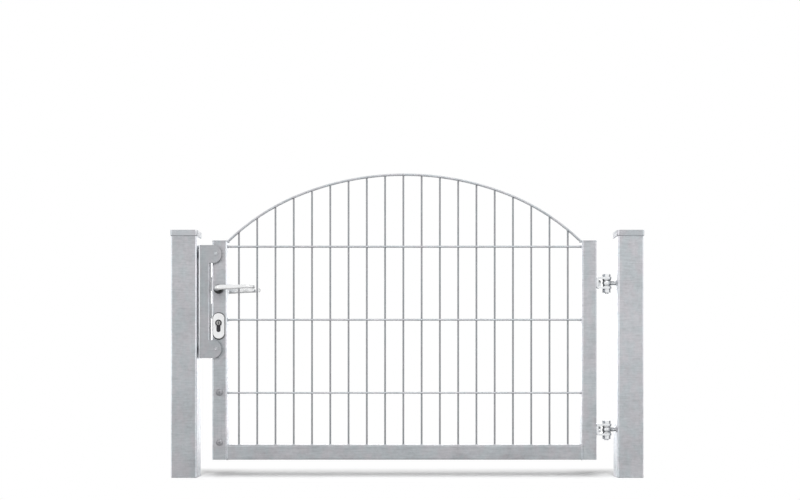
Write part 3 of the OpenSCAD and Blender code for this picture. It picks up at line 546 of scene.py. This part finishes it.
# %% Helpers for meshes
def turns(count):
    return [2 * math.pi * k / count for k in range(count)]


def add_skin(mesh, rings, closed=False):
    rows = [[mesh.verts.new(point) for point in ring] for ring in rings]
    count = len(rings[0])
    following = rows[1:] + rows[:1] if closed else rows[1:]
    for low, high in zip(rows, following):
        for k in range(count):
            after = (k + 1) % count
            mesh.faces.new((low[k], low[after], high[after], high[k]))
    if not closed:
        mesh.faces.new(rows[0][::-1])
        mesh.faces.new(rows[-1])


def finish_piece(name, mesh, body, material, stands_for=(), sharp_angle=35):
    bmesh.ops.recalc_face_normals(mesh, faces=mesh.faces)
    for face in mesh.faces:
        face.smooth = True
    for edge in mesh.edges:
        if edge.is_manifold and edge.calc_face_angle(0) > math.radians(sharp_angle):
            edge.smooth = False
    data = bpy.data.meshes.new(name)
    mesh.to_mesh(data)
    mesh.free()
    data.materials.append(material)
    piece = bpy.data.objects.new(name, data)
    bpy.context.scene.collection.objects.link(piece)
    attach(piece, body)
    if stands_for:
        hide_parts(*stands_for)
    print(name, len(data.polygons), "faces")
    return piece


def path_frames(path, level, closed=False):
    frames = []
    last = len(path) - 1
    for i, point in enumerate(path):
        if closed:
            heading = path[(i + 1) % len(path)] - path[i - 1]
        else:
            heading = path[min(i + 1, last)] - path[max(i - 1, 0)]
        heading.normalize()
        frames.append((point, level.cross(heading).normalized(), level))
    return frames


def round_rings(path, radii, sides, level, closed=False):
    rings = []
    for (point, across, up), radius in zip(path_frames(path, level, closed), radii):
        rings.append([point + radius * (math.cos(a) * across + math.sin(a) * up) for a in turns(sides)])
    return rings


def add_rod(mesh, path, radius, level, sides=20):
    add_skin(mesh, round_rings(path, [radius] * len(path), sides, level))


FRONTWARD = Vector((0, -1, 0))
UPWARD = Vector((0, 0, 1))

# %% [markdown]
# ## The rod mesh
# The panel is a double-rod mat: upright rods of 5 mm every 50 mm, gripped between two cross rods
# of the same size, one in front and one behind. The arch is a pair of rods too, bent to a flat crown
# with a tighter shoulder on each side, and the uprights end between them.
# The imported solid has eight-sided rods. Here they are drawn round, as two pieces, because the uprights
# get painted shade and the cross rods painted light, as if lit from above: two tones of one zinc.
# An upright is one straight rod, so its length comes from the height of the arch above it.

# %% Measures of the panel
panel_low, panel_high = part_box("mesh_panel")
UPRIGHT_R = 2.5 * MM
CROSS_R = 2.5 * MM
WELD_SINK = 0.4 * MM
UPRIGHT_PITCH = 50 * MM
UPRIGHT_MARGIN = 30 * MM
CROSS_PITCH = 200 * MM
CROSS_FIRST = 142 * MM
CROSS_ROWS = 3
CROSS_Y = UPRIGHT_R + CROSS_R - WELD_SINK
CROWN_R = 772 * MM
CROWN_ANGLE = math.radians(21.4)
ARCH_RISE = 183 * MM
ARCH_STEPS = 140

panel_w = panel_high.x - panel_low.x
arch_x = (panel_low.x + panel_high.x) / 2
arch_top = panel_high.z - CROSS_R
shoulder_w = panel_w / 2 - CROWN_R * math.sin(CROWN_ANGLE)
shoulder_fall = ARCH_RISE - CROWN_R * (1 - math.cos(CROWN_ANGLE))
shoulder_slope = shoulder_fall * math.cos(CROWN_ANGLE) - shoulder_w * math.sin(CROWN_ANGLE)
shoulder_r = (shoulder_w ** 2 + shoulder_fall ** 2) / (2 * shoulder_slope)
shoulder_x = (CROWN_R - shoulder_r) * math.sin(CROWN_ANGLE)
shoulder_z = arch_top - CROWN_R + (CROWN_R - shoulder_r) * math.cos(CROWN_ANGLE)


def arch_height(x):
    across = abs(x - arch_x)
    if across <= CROWN_R * math.sin(CROWN_ANGLE):
        return arch_top - CROWN_R + math.sqrt(CROWN_R ** 2 - across ** 2)
    return shoulder_z + math.sqrt(shoulder_r ** 2 - (across - shoulder_x) ** 2)


upright_xs = [panel_low.x + UPRIGHT_MARGIN + i * UPRIGHT_PITCH
              for i in range(int((panel_w - UPRIGHT_MARGIN) / UPRIGHT_PITCH) + 1)]
cross_zs = [panel_low.z + CROSS_FIRST + i * CROSS_PITCH for i in range(CROSS_ROWS)]
arch_path = [Vector((x, 0, arch_height(x)))
             for x in (panel_low.x + panel_w * i / ARCH_STEPS for i in range(ARCH_STEPS + 1))]
print("uprights", len(upright_xs), "cross rows", len(cross_zs), "shoulder radius mm", round(shoulder_r / MM))

# %% Draw the rods
def make_upright_rods():
    mesh = bmesh.new()
    for x in upright_xs:
        add_rod(mesh, [Vector((x, 0, panel_low.z)), Vector((x, 0, arch_height(x)))], UPRIGHT_R, FRONTWARD)
    return finish_piece("upright_rods", mesh, "leaf", shaded_upright_zinc, ["mesh_panel"])


def make_cross_rods():
    mesh = bmesh.new()
    for side in (-1, 1):
        lift = Vector((0, side * CROSS_Y, 0))
        for z in cross_zs:
            ends = [Vector((x, 0, z)) + lift for x in (panel_low.x, panel_high.x)]
            add_rod(mesh, ends, CROSS_R, FRONTWARD)
        add_rod(mesh, [point + lift for point in arch_path], CROSS_R, FRONTWARD)
    return finish_piece("cross_rods", mesh, "leaf", lit_cross_zinc, ["mesh_panel"])


make_upright_rods()
make_cross_rods()

# %% [markdown]
# ## Spot welds
# Where two rods cross they are pressed together and melted, and the dip leaves a little web
# of zinc in each corner of the crossing. A flattened ball at each contact gives that web.
# Rod ends are different: there the welder runs a small collar round the rod onto the tube.
# Both get a little randomness, from one seeded source so that every run of the script is the same.

# %% Webs at the crossings and collars at the rod ends
WEB_REACH = 3.3 * MM
WEB_T = 1.5 * MM
WEB_ROWS = 7
WEB_SIDES = 14
WEB_RIPPLE = 0.08
COLLAR_SIDES = 20
COLLAR_SINK = 0.4 * MM
COLLAR_RIPPLE = 0.1
# How far each collar spreads on the tube, and how far it climbs the rod
UPRIGHT_COLLAR = (1.7 * MM, 2.2 * MM)
CROSS_COLLAR = (1.8 * MM, 2.4 * MM)
ARCH_COLLAR = (1.9 * MM, 3.2 * MM)
chance = random.Random(41)


def add_web(mesh, centre):
    rings = []
    for i in range(1, WEB_ROWS):
        tilt = math.pi * i / WEB_ROWS
        ring = []
        for turn in turns(WEB_SIDES):
            out = WEB_REACH * math.sin(tilt) * (1 + WEB_RIPPLE * chance.uniform(-1, 1))
            corner = Vector((out * math.cos(turn), -WEB_T * math.cos(tilt), out * math.sin(turn)))
            ring.append(centre + corner)
        rings.append(ring)
    add_skin(mesh, rings)


def add_collar(mesh, foot, heading, rod_r, spread_r, rise):
    side = heading.orthogonal().normalized()
    other = heading.cross(side)
    profile = [
        (rod_r * 0.8, -COLLAR_SINK),
        (rod_r + spread_r, -COLLAR_SINK),
        (rod_r + spread_r * 0.85, rise * 0.25),
        (rod_r + spread_r * 0.35, rise * 0.6),
        (rod_r * 1.02, rise),
        (rod_r * 0.8, rise),
    ]
    rings = []
    for turn in turns(COLLAR_SIDES):
        out = math.cos(turn) * side + math.sin(turn) * other
        swell = 1 + COLLAR_RIPPLE * chance.uniform(-1, 1)
        rings.append([foot + out * (rod_r + (r - rod_r) * swell if r > rod_r else r) + heading * climb
                      for r, climb in profile])
    add_skin(mesh, rings, closed=True)


def make_rod_welds():
    mesh = bmesh.new()
    contact = UPRIGHT_R - WELD_SINK / 2
    for x in upright_xs:
        add_collar(mesh, Vector((x, 0, panel_low.z)), UPWARD, UPRIGHT_R, *UPRIGHT_COLLAR)
        for side in (-1, 1):
            for z in cross_zs + [arch_height(x)]:
                add_web(mesh, Vector((x, side * contact, z)))
    for side in (-1, 1):
        for x, inward in ((panel_low.x, 1), (panel_high.x, -1)):
            for z in cross_zs:
                heading = Vector((inward, 0, 0))
                add_collar(mesh, Vector((x, side * CROSS_Y, z)), heading, CROSS_R, *CROSS_COLLAR)
            end = arch_path[0] if inward > 0 else arch_path[-1]
            near = arch_path[2] if inward > 0 else arch_path[-3]
            foot = end + Vector((0, side * CROSS_Y, 0))
            add_collar(mesh, foot, (near - end).normalized(), CROSS_R, *ARCH_COLLAR)
    return finish_piece("rod_welds", mesh, "leaf", lit_cross_zinc, sharp_angle=60)


make_rod_welds()

# %% [markdown]
# ## Frame welds
# The bottom rail is welded all round its ends to the two stiles, and a flat plate closes
# the top of each stile. A hand-laid bead is a row of overlapping puddles, so it swells and narrows
# every couple of millimetres. A tube swept round the joint, with a radius that ripples along its length,
# gives just that. Only its outer half stands out of the steel.

# %% Beads round the rail's ends and the stiles' tops
tube_low, tube_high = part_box("bottom_rail")
TUBE_CORNER = 4.5 * MM
BEAD_STEP = 0.5 * MM
BEAD_SIDES = 12
BEAD_JITTER = 0.05
BEAD_OFF_RAIL = 0.3 * MM
# How deep each bead lies in the steel, and its radius, puddle length and ripple
RAIL_BEAD_SINK = 0.9 * MM
RAIL_BEAD = (2.3 * MM, 2.6 * MM, 0.2)
PLATE_BEAD_SINK = 0.55 * MM
PLATE_BEAD = (1.0 * MM, 2.0 * MM, 0.22)


def turned_point(u, v, turn):
    return u * math.cos(turn) - v * math.sin(turn), u * math.sin(turn) + v * math.cos(turn)


def tube_outline(half, corner, step):
    flat = half - corner
    straight = max(2, int(2 * flat / step))
    bend = max(3, int(corner * math.pi / 2 / step))
    points = []
    for quarter in range(4):
        turn = math.pi / 2 * quarter
        points += [turned_point(half, -flat + 2 * flat * i / straight, turn) for i in range(straight)]
        for i in range(bend):
            a = math.pi / 2 * i / bend
            points.append(turned_point(flat + corner * math.cos(a), flat + corner * math.sin(a), turn))
    return points


def add_bead(mesh, path, level, radius, puddle, ripple):
    travelled = 0.0
    radii = []
    for i, point in enumerate(path):
        travelled += (point - path[i - 1]).length
        wave = 0.5 - 0.5 * math.cos(2 * math.pi * travelled / puddle)
        radii.append(radius * (1 - ripple * wave + BEAD_JITTER * chance.uniform(-1, 1)))
    add_skin(mesh, round_rings(path, radii, BEAD_SIDES, level, closed=True), closed=True)


def make_frame_welds():
    mesh = bmesh.new()
    half = (tube_high.z - tube_low.z) / 2
    middle_z = (tube_high.z + tube_low.z) / 2
    rail_outline = tube_outline(half - RAIL_BEAD_SINK, TUBE_CORNER - RAIL_BEAD_SINK, BEAD_STEP)
    for x in (tube_low.x - BEAD_OFF_RAIL, tube_high.x + BEAD_OFF_RAIL):
        path = [Vector((x, y, middle_z + z)) for y, z in rail_outline]
        add_bead(mesh, path, Vector((1, 0, 0)), *RAIL_BEAD)
    plate_outline = tube_outline(half - PLATE_BEAD_SINK, TUBE_CORNER - PLATE_BEAD_SINK, BEAD_STEP)
    for name in ("lock_stile_end", "hinge_stile_end"):
        low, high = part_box(name)
        path = [Vector(((low.x + high.x) / 2 + x, y, low.z)) for x, y in plate_outline]
        add_bead(mesh, path, UPWARD, *PLATE_BEAD)
    return finish_piece("frame_welds", mesh, "leaf", tube_level, sharp_angle=80)


make_frame_welds()

# %% [markdown]
# ## Threads and turned heads
# The hinges hang on eye bolts: a ball with two flats and a bore, on a threaded shank that screws into
# the post, so that the leaf can be set. A pin with a hexagon head drops through the eye.
# A thread is a groove that winds round the shank. Here every ring of the shank's skin carries
# the V-shaped groove a little further round, which gives a true helix without any cutting.
# The head is skinned too: its wall follows the hexagon, and its top corners end where
# a turning tool would have cut them.

# %% Helpers for threads, eyes and heads
THREAD_PITCH = 1.75 * MM
THREAD_DEPTH = 0.64 * MM
THREAD_SIDES = 32
RINGS_PER_TURN = 8
GROOVE_SHARPNESS = 1.2
END_TAPER = 0.5 * MM
END_TAPER_L = 0.6 * THREAD_PITCH
EYE_SIDES = 64
HEX_SIDES = 96


def thread_rings(start, heading, radius, length):
    side = heading.orthogonal().normalized()
    other = heading.cross(side)
    rings = []
    count = int(length / THREAD_PITCH * RINGS_PER_TURN)
    for i in range(count + 1):
        along = length * i / count
        taper = min(1.0, (length - along) / END_TAPER_L)
        ring = []
        for k, turn in enumerate(turns(THREAD_SIDES)):
            phase = (along / THREAD_PITCH - k / THREAD_SIDES) % 1.0
            groove = abs(2 * phase - 1) ** GROOVE_SHARPNESS
            r = radius - THREAD_DEPTH * groove - END_TAPER * (1 - taper)
            ring.append(start + heading * along + r * (math.cos(turn) * side + math.sin(turn) * other))
        rings.append(ring)
    return rings


def add_turned(mesh, centre, profile):
    rings = []
    for turn in turns(EYE_SIDES):
        out = Vector((math.cos(turn), math.sin(turn), 0))
        rings.append([centre + out * r + UPWARD * z for r, z in profile])
    add_skin(mesh, rings, closed=True)


def add_hex_head(mesh, seat, flats, height):
    half = flats / 2
    corner_r = half / math.cos(math.pi / 6)
    turned_off = (corner_r - half) * math.tan(math.pi / 6)
    walls = [half / math.cos(turn % (math.pi / 3) - math.pi / 6) for turn in turns(HEX_SIDES)]

    def ring(reaches, lifts):
        return [seat + Vector((r * math.cos(turn), r * math.sin(turn), lift))
                for turn, r, lift in zip(turns(HEX_SIDES), reaches, lifts)]

    wall_tops = [height - turned_off * (r - half) / (corner_r - half) for r in walls]
    level = [height] * HEX_SIDES
    add_skin(mesh, [ring(walls, [0] * HEX_SIDES), ring(walls, wall_tops),
                    ring([half * 0.985] * HEX_SIDES, level), ring([half * 0.6] * HEX_SIDES, level)])


# %% [markdown]
# The eye is turned from one outline: a bore, two flats and a round rim between them,
# each corner broken by a small chamfer. Its shank runs from inside the ball right through the bush.

# %% Eye bolts and hinge pins
EYE_R = 12.5 * MM
PIN_R = 6 * MM
PIN_GAP = 0.1 * MM
PIN_HEX = 19 * MM
PIN_HEAD = 8 * MM
PIN_SIDES = 40
EYE_CHAMFER = 0.6 * MM
RIM_STEPS = 8
SHANK_IN_EYE = 2.5 * MM
THREAD_IN_NUT = 4 * MM
swing = next(joint for joint in frame["joints"] if joint["name"] == "gate_swing")


def eye_outline(half):
    bore = PIN_R + PIN_GAP
    flat_r = math.sqrt(EYE_R ** 2 - half ** 2)
    low_edge = [(bore + EYE_CHAMFER, -half), (flat_r - EYE_CHAMFER, -half)]
    high_edge = [(flat_r - EYE_CHAMFER, half), (bore + EYE_CHAMFER, half)]
    rim = []
    for i in range(-RIM_STEPS, RIM_STEPS + 1):
        z = (half - EYE_CHAMFER) * i / RIM_STEPS
        rim.append((math.sqrt(EYE_R ** 2 - z ** 2), z))
    inner = [(bore, half - EYE_CHAMFER), (bore, EYE_CHAMFER - half)]
    return low_edge + rim + high_edge + inner


def make_eye_bolt(node, name):
    low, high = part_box(node)
    centre = Vector((swing["pos_m"][0], 0, (low.z + high.z) / 2))
    mesh = bmesh.new()
    add_turned(mesh, centre, eye_outline((high.z - low.z) / 2))
    start = centre + Vector((EYE_R - SHANK_IN_EYE, 0, 0))
    add_skin(mesh, thread_rings(start, Vector((1, 0, 0)), PIN_R, high.x - start.x))
    return finish_piece(name, mesh, "posts", plated, [node])


def make_hinge_pin(node, name):
    low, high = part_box(node)
    seat = Vector((swing["pos_m"][0], 0, high.z - PIN_HEAD))
    mesh = bmesh.new()
    add_hex_head(mesh, seat, PIN_HEX, PIN_HEAD)
    nut_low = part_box(node.replace("pin", "nut"))[0].z
    thread_top = nut_low + THREAD_IN_NUT
    add_rod(mesh, [seat + UPWARD * MM, Vector((seat.x, 0, thread_top - MM))], PIN_R, FRONTWARD, PIN_SIDES)
    add_skin(mesh, thread_rings(Vector((seat.x, 0, thread_top)), -UPWARD, PIN_R, thread_top - low.z))
    return finish_piece(name, mesh, "leaf", plated, [node])


for level in ("upper", "lower"):
    make_eye_bolt(level + "_eye_bolt", level + "_eye_bolt_threaded")
    make_hinge_pin(level + "_hinge_pin", level + "_hinge_pin_threaded")

# %% [markdown]
# ## Levers
# A gate lever is bent from one bar of stainless steel: a round neck comes out of the leaf,
# turns into the arm, and the tip turns back so that it can't catch a sleeve.
# The arm grows slimmer towards the tip while its upper edge stays level.
# The skin is bent like the solid, with many more rings, so the bends read as smooth.
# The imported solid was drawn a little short: this one reaches 2.5 mm further and ends 1 mm higher.

# %% Lever line and sections
turn_joint = next(joint for joint in frame["joints"] if joint["name"] == "lever_turn")
NECK_D = 15 * MM
LEVER_STAND = 51 * MM
LEVER_REACH = 99.5 * MM
NECK_BEND = 12 * MM
TIP_BEND = 24 * MM
TIP_ANGLE = math.radians(65)
TIP_H = 10.5 * MM
ARM_T = 9 * MM
ARM_RISE = 1 * MM
RING_GAP = 0.5 * MM
STILE_HALF = 20 * MM
ARM_L = LEVER_REACH - NECK_BEND - TIP_BEND * math.sin(TIP_ANGLE)
NECK_L = LEVER_STAND - NECK_BEND - RING_GAP
NECK_STEPS = 8
BEND_STEPS = 16
ARM_STEPS = 12
END_STEPS = 6
LEVER_SIDES = 48
END_ROUND = 1.2 * MM
END_SHRINK = 0.22


def lever_line():
    stations = [(0, RING_GAP + NECK_L * i / NECK_STEPS, math.pi / 2) for i in range(NECK_STEPS)]
    for i in range(BEND_STEPS + 1):
        a = math.pi / 2 * i / BEND_STEPS
        along = NECK_BEND * (1 - math.cos(a))
        out = LEVER_STAND - NECK_BEND * (1 - math.sin(a))
        stations.append((along, out, math.pi / 2 - a))
    stations += [(NECK_BEND + ARM_L * i / ARM_STEPS, LEVER_STAND, 0) for i in range(1, ARM_STEPS)]
    for i in range(BEND_STEPS + 1):
        a = TIP_ANGLE * i / BEND_STEPS
        along = NECK_BEND + ARM_L + TIP_BEND * math.sin(a)
        out = LEVER_STAND - TIP_BEND * (1 - math.cos(a))
        stations.append((along, out, -a))
    return stations


def lever_section(station, shrink=1.0):
    along, out, turn = station
    share = min(1, max(0, along) / (NECK_BEND + ARM_L))
    bent = min(1, max(0, along) / NECK_BEND)
    height = NECK_D + (TIP_H - NECK_D) * share
    thick = NECK_D + (ARM_T - NECK_D) * bent
    middle = (NECK_D - height) / 2 + ARM_RISE * bent
    points = []
    for a in turns(LEVER_SIDES):
        across = thick / 2 * shrink * math.cos(a)
        lift = middle + height / 2 * shrink * math.sin(a)
        points.append((along - across * math.sin(turn), out + across * math.cos(turn), lift))
    return points


def make_lever(node, name, side):
    lever_x, _, lever_z = turn_joint["pos_m"]
    stations = lever_line()
    rings = [lever_section(station) for station in stations]
    along, out, turn = stations[-1]
    for i in range(1, END_STEPS):
        a = math.pi / 2 * i / END_STEPS
        slip = END_ROUND * (math.sin(a) - 1)
        end = (along + slip * math.cos(turn), out + slip * math.sin(turn), turn)
        rings.append(lever_section(end, shrink=1 - END_SHRINK * (1 - math.cos(a))))
    mesh = bmesh.new()
    place = Vector((lever_x, side * STILE_HALF, lever_z))
    add_skin(mesh, [[place + Vector((px, side * py, pz)) for px, py, pz in ring] for ring in rings])
    return finish_piece(name, mesh, "handle", polished, [node])


make_lever("front_lever", "front_lever_bar", -1)
make_lever("rear_lever", "rear_lever_bar", 1)

# %% [markdown]
# ## The cylinder's plug
# The key turns a round plug in the middle of the profile cylinder. It stands out a hair's breadth,
# with a chamfered rim and the slot for the key. A ring of points round the plug and a ring
# round the slot are skinned together, so the slot stays open down to the solid's own keyway.

# %% Plugs in front and at the back
PLUG_R = 5.6 * MM
PLUG_PROUD = 0.35 * MM
PLUG_SINK = 0.4 * MM
PLUG_CHAMFER_H = 0.2 * MM
PLUG_CHAMFER_W = 0.25 * MM
PLUG_SIDES = 48
KEYWAY_W = 2.2 * MM
KEYWAY_H = 8.7 * MM
NEARLY_ZERO = 1e-6
plug_turns = [2 * math.pi * (k + 0.5) / PLUG_SIDES for k in range(PLUG_SIDES)]


def keyway_reach(turn):
    to_side = KEYWAY_W / 2 / max(abs(math.cos(turn)), NEARLY_ZERO)
    to_end = KEYWAY_H / 2 / max(abs(math.sin(turn)), NEARLY_ZERO)
    return min(to_side, to_end)


def make_plug(name, side):
    low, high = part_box("profile_cylinder")
    centre_x = (low.x + high.x) / 2
    centre_z = high.z - (high.x - low.x) / 2
    face_y = low.y if side < 0 else high.y
    inside = face_y - side * PLUG_SINK
    top = face_y + side * PLUG_PROUD

    def ring(reaches, y):
        return [Vector((centre_x + reach * math.cos(turn), y, centre_z + reach * math.sin(turn)))
                for turn, reach in zip(plug_turns, reaches)]

    rim = [PLUG_R] * PLUG_SIDES
    chamfered = [PLUG_R - PLUG_CHAMFER_W] * PLUG_SIDES
    keyway = [keyway_reach(turn) for turn in plug_turns]
    mesh = bmesh.new()
    add_skin(mesh, [ring(rim, inside), ring(rim, top - side * PLUG_CHAMFER_H), ring(chamfered, top),
                    ring(keyway, top), ring(keyway, inside)], closed=True)
    return finish_piece(name, mesh, "leaf", plug_metal)


make_plug("front_cylinder_plug", -1)
make_plug("rear_cylinder_plug", 1)

# %% [markdown]
# ## Underlays of the escutcheons
# A polished escutcheon is clipped over a thin grey nylon underlay, whose rim shows as a dark line
# round it: painted shade along the escutcheon's edge.
# It is an oval ring, a little wider than the escutcheon, skinned through five outlines
# of two half circles each.

# %% Underlays in front and at the back
# The rim is wide enough to show as a line of painted shade round the escutcheon.
UNDERLAY_RIM = 1.3 * MM
UNDERLAY_T = 1.8 * MM
UNDERLAY_INSIDE = 2 * MM
UNDERLAY_CHAMFER = 0.3 * MM
OVAL_STEPS = 24


def oval_outline(width, height):
    radius = width / 2
    straight = height / 2 - radius
    points = []
    for end in (1, -1):
        for k in range(OVAL_STEPS + 1):
            a = math.pi * k / OVAL_STEPS + (0 if end > 0 else math.pi)
            points.append((radius * math.cos(a), end * straight + radius * math.sin(a)))
    return points


def make_shade_line_underlay(node, name, side):
    low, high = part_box(node)
    centre_x, centre_z = (low.x + high.x) / 2, (low.z + high.z) / 2
    foot_y = low.y if side > 0 else high.y
    width, height = high.x - low.x, high.z - low.z

    def ring(rim, out):
        outline = oval_outline(width + 2 * rim, height + 2 * rim)
        return [Vector((centre_x + x, foot_y + side * out, centre_z + z)) for x, z in outline]

    mesh = bmesh.new()
    add_skin(mesh, [ring(-UNDERLAY_INSIDE, 0), ring(UNDERLAY_RIM, 0),
                    ring(UNDERLAY_RIM, UNDERLAY_T - UNDERLAY_CHAMFER),
                    ring(UNDERLAY_RIM - UNDERLAY_CHAMFER, UNDERLAY_T),
                    ring(-UNDERLAY_INSIDE, UNDERLAY_T)], closed=True)
    return finish_piece(name, mesh, "leaf", grey_nylon_shade_line)


make_shade_line_underlay("front_escutcheon", "front_underlay_shade_line", -1)
make_shade_line_underlay("rear_escutcheon", "rear_underlay_shade_line", 1)

# %% [markdown]
# ## Faceplate screws
# Two countersunk screws hold the lock's faceplate to the stile. They show when the leaf stands open.
# Each is a turned disc, hardly prouder than the plate, with a cross recess. The recess is a ring
# whose radius follows the cross, skinned down to its floor.

# %% Two countersunk screws
SCREW_FROM_END = 9 * MM
SCREW_SIDES = 48
SCREW_R = 3.9 * MM
SCREW_TOP_R = 3.6 * MM
SCREW_FOOT = 0.6 * MM
SCREW_RIM = -0.05 * MM
SCREW_TOP = -0.25 * MM
RECESS_R = 2.6 * MM
RECESS_FLOOR_R = 2.2 * MM
RECESS_FLOOR = 0.5 * MM
CROSS_WAIST = 0.42


def screw_ring(plate_x, z, radius, depth, cross=False):
    points = []
    for a in turns(SCREW_SIDES):
        arm = CROSS_WAIST + (1 - CROSS_WAIST) * abs(math.cos(2 * a)) ** 3
        reach = radius * arm if cross else radius
        points.append(Vector((plate_x + depth, reach * math.cos(a), z + reach * math.sin(a))))
    return points


def make_faceplate_screws():
    low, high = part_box("mortise_lock")
    mesh = bmesh.new()
    for z in (low.z + SCREW_FROM_END, high.z - SCREW_FROM_END):
        add_skin(mesh, [screw_ring(low.x, z, SCREW_R, SCREW_FOOT),
                        screw_ring(low.x, z, SCREW_R, SCREW_RIM),
                        screw_ring(low.x, z, SCREW_TOP_R, SCREW_TOP),
                        screw_ring(low.x, z, RECESS_R, SCREW_TOP, cross=True),
                        screw_ring(low.x, z, RECESS_FLOOR_R, RECESS_FLOOR, cross=True)])
    return finish_piece("faceplate_screws", mesh, "leaf", nickelled)


make_faceplate_screws()

# %% [markdown]
# ## Floor and light
# The gate stands on a plain white floor in front of white. The world is seen as pure white by the eye
# and by every reflection, and lights dull surfaces at a lower level.
# Near the gate the floor is dull white paint and keeps the shadow under the leaf. It is darker towards
# the camera, where most light falls on it. Away from the gate's line, and beside the posts,
# the eye sees it go over into plain white, so that it runs into the background without a line.

# %% World and floor
AMBIENT = 0.25
FLOOR_WHITE = (0.48, 0.8)
DARKER_NEARBY = (-1.0, -0.15)
FLOOR_MIRRORED = (0.5, 0.8)
MIRRORED_LIGHTER_FROM = (-0.1, 0.1)
FLOOR_HALF = (2.2, 1.3)
SHADOW_MIDDLE = 0.075
WHITE_FROM_DEPTH = (0.1, 0.27)
WHITE_FROM_SIDE = (0.575, 0.63)
PURE_WHITE = (1, 1, 1, 1)


def seen_by_eye(tree):
    path = add_node(tree, "LightPath")
    mirrored = combine(tree, "MAXIMUM", path.outputs["Is Glossy Ray"], path.outputs["Is Transmission Ray"])
    return path.outputs["Is Camera Ray"], mirrored


def make_world():
    world = bpy.data.worlds.new("white_room")
    bpy.context.scene.world = world
    world.use_nodes = True
    tree = world.node_tree
    tree.nodes.clear()
    looked_at, mirrored = seen_by_eye(tree)
    room = blend_values(tree, AMBIENT, 1.0, combine(tree, "MAXIMUM", looked_at, mirrored))
    glow = add_node(tree, "Background", {"Color": PURE_WHITE, "Strength": room})
    add_node(tree, "OutputWorld", {"Surface": glow.outputs[0]})


def floor_paint():
    material = bpy.data.materials.new("white_floor")
    material.use_nodes = True
    tree = material.node_tree
    tree.nodes.clear()
    looked_at, mirrored = seen_by_eye(tree)
    place = add_node(tree, "SeparateXYZ", {0: add_node(tree, "TexCoord").outputs["Object"]})
    in_mirror = spread(tree, place.outputs[1], *MIRRORED_LIGHTER_FROM, *FLOOR_MIRRORED)
    in_view = spread(tree, place.outputs[1], *DARKER_NEARBY, *FLOOR_WHITE)
    paint = add_node(tree, "BsdfDiffuse", {"Color": blend_values(tree, in_view, in_mirror, mirrored)})
    along = combine(tree, "ABSOLUTE", place.outputs[0], 0.0)
    away = combine(tree, "ABSOLUTE", combine(tree, "SUBTRACT", place.outputs[1], SHADOW_MIDDLE), 0.0)
    beside_posts = spread(tree, along, *WHITE_FROM_SIDE)
    off_the_line = spread(tree, away, *WHITE_FROM_DEPTH)
    far = combine(tree, "MAXIMUM", beside_posts, off_the_line)
    white = add_node(tree, "Emission", {"Color": PURE_WHITE, "Strength": 1.0})
    share = combine(tree, "MULTIPLY", far, looked_at)
    both = add_node(tree, "MixShader", {0: share, 1: paint.outputs[0], 2: white.outputs[0]})
    add_node(tree, "OutputMaterial", {"Surface": both.outputs[0]})
    return material


def make_floor(centre_x):
    mesh = bmesh.new()
    bmesh.ops.create_grid(mesh, x_segments=8, y_segments=6, size=1)
    bmesh.ops.scale(mesh, vec=(*FLOOR_HALF, 1), verts=mesh.verts)
    data = bpy.data.meshes.new("white_floor")
    mesh.to_mesh(data)
    mesh.free()
    data.materials.append(floor_paint())
    floor = bpy.data.objects.new("white_floor", data)
    floor.location = (centre_x, 0, 0)
    bpy.context.scene.collection.objects.link(floor)


make_world()
gate_x = (cad_box[0].x + cad_box[1].x) / 2
make_floor(gate_x)
print("floor centred at x =", round(gate_x, 4), "m")

# %% [markdown]
# Dull surfaces and metal want different light. Two soft boxes light only what is dull: a tall one
# above the camera, from where every post's shadow falls straight behind the post and only the one
# under the leaf is left to see, and a wide one over the gate that softens it.
# Metal isn't lit, it mirrors, so it gets three soft boxes that only reflections see: a key high on
# the right, a wide one behind that brightens faces seen at a slant, and a narrow one low on the left
# that draws a line along rounded edges.

# %% Soft boxes
def add_softbox(name, place, aim, width, height, brightness, for_metal=True):
    light = bpy.data.lights.new(name, "AREA")
    light.shape = "RECTANGLE"
    light.size = width
    light.size_y = height
    light.energy = brightness * math.pi * width * height
    box = bpy.data.objects.new(name, light)
    box.location = place
    box.rotation_euler = (Vector(aim) - Vector(place)).to_track_quat("-Z", "Y").to_euler()
    box.visible_camera = False
    box.visible_diffuse = not for_metal
    box.visible_glossy = for_metal
    bpy.context.scene.collection.objects.link(box)


gate_foot = (gate_x, 0.0, 0.0)
gate_middle = (gate_x, 0.0, 0.4)
over_camera = (PICTURE_CENTRE_X, -VIEW_DISTANCE, 1.7)
add_softbox("over_the_camera", over_camera, gate_foot, 1.4, 2.0, 21, for_metal=False)
add_softbox("over_the_gate", (gate_x, -1.3, 2.6), (gate_x, -1.3, 0.0), 3.0, 2.6, 1.6, for_metal=False)
add_softbox("key", (gate_x + 0.6, -1.8, 2.9), gate_middle, 1.2, 0.8, 3)
add_softbox("behind", (gate_x, 3.2, 1.0), gate_middle, 3.6, 2.4, 1.9)
add_softbox("front_left", (gate_x - 2.2, -2.6, 0.9), gate_middle, 0.5, 1.7, 1.2)
bpy.context.scene.view_settings.view_transform = "Standard"
print("soft boxes:", len(bpy.data.lights))
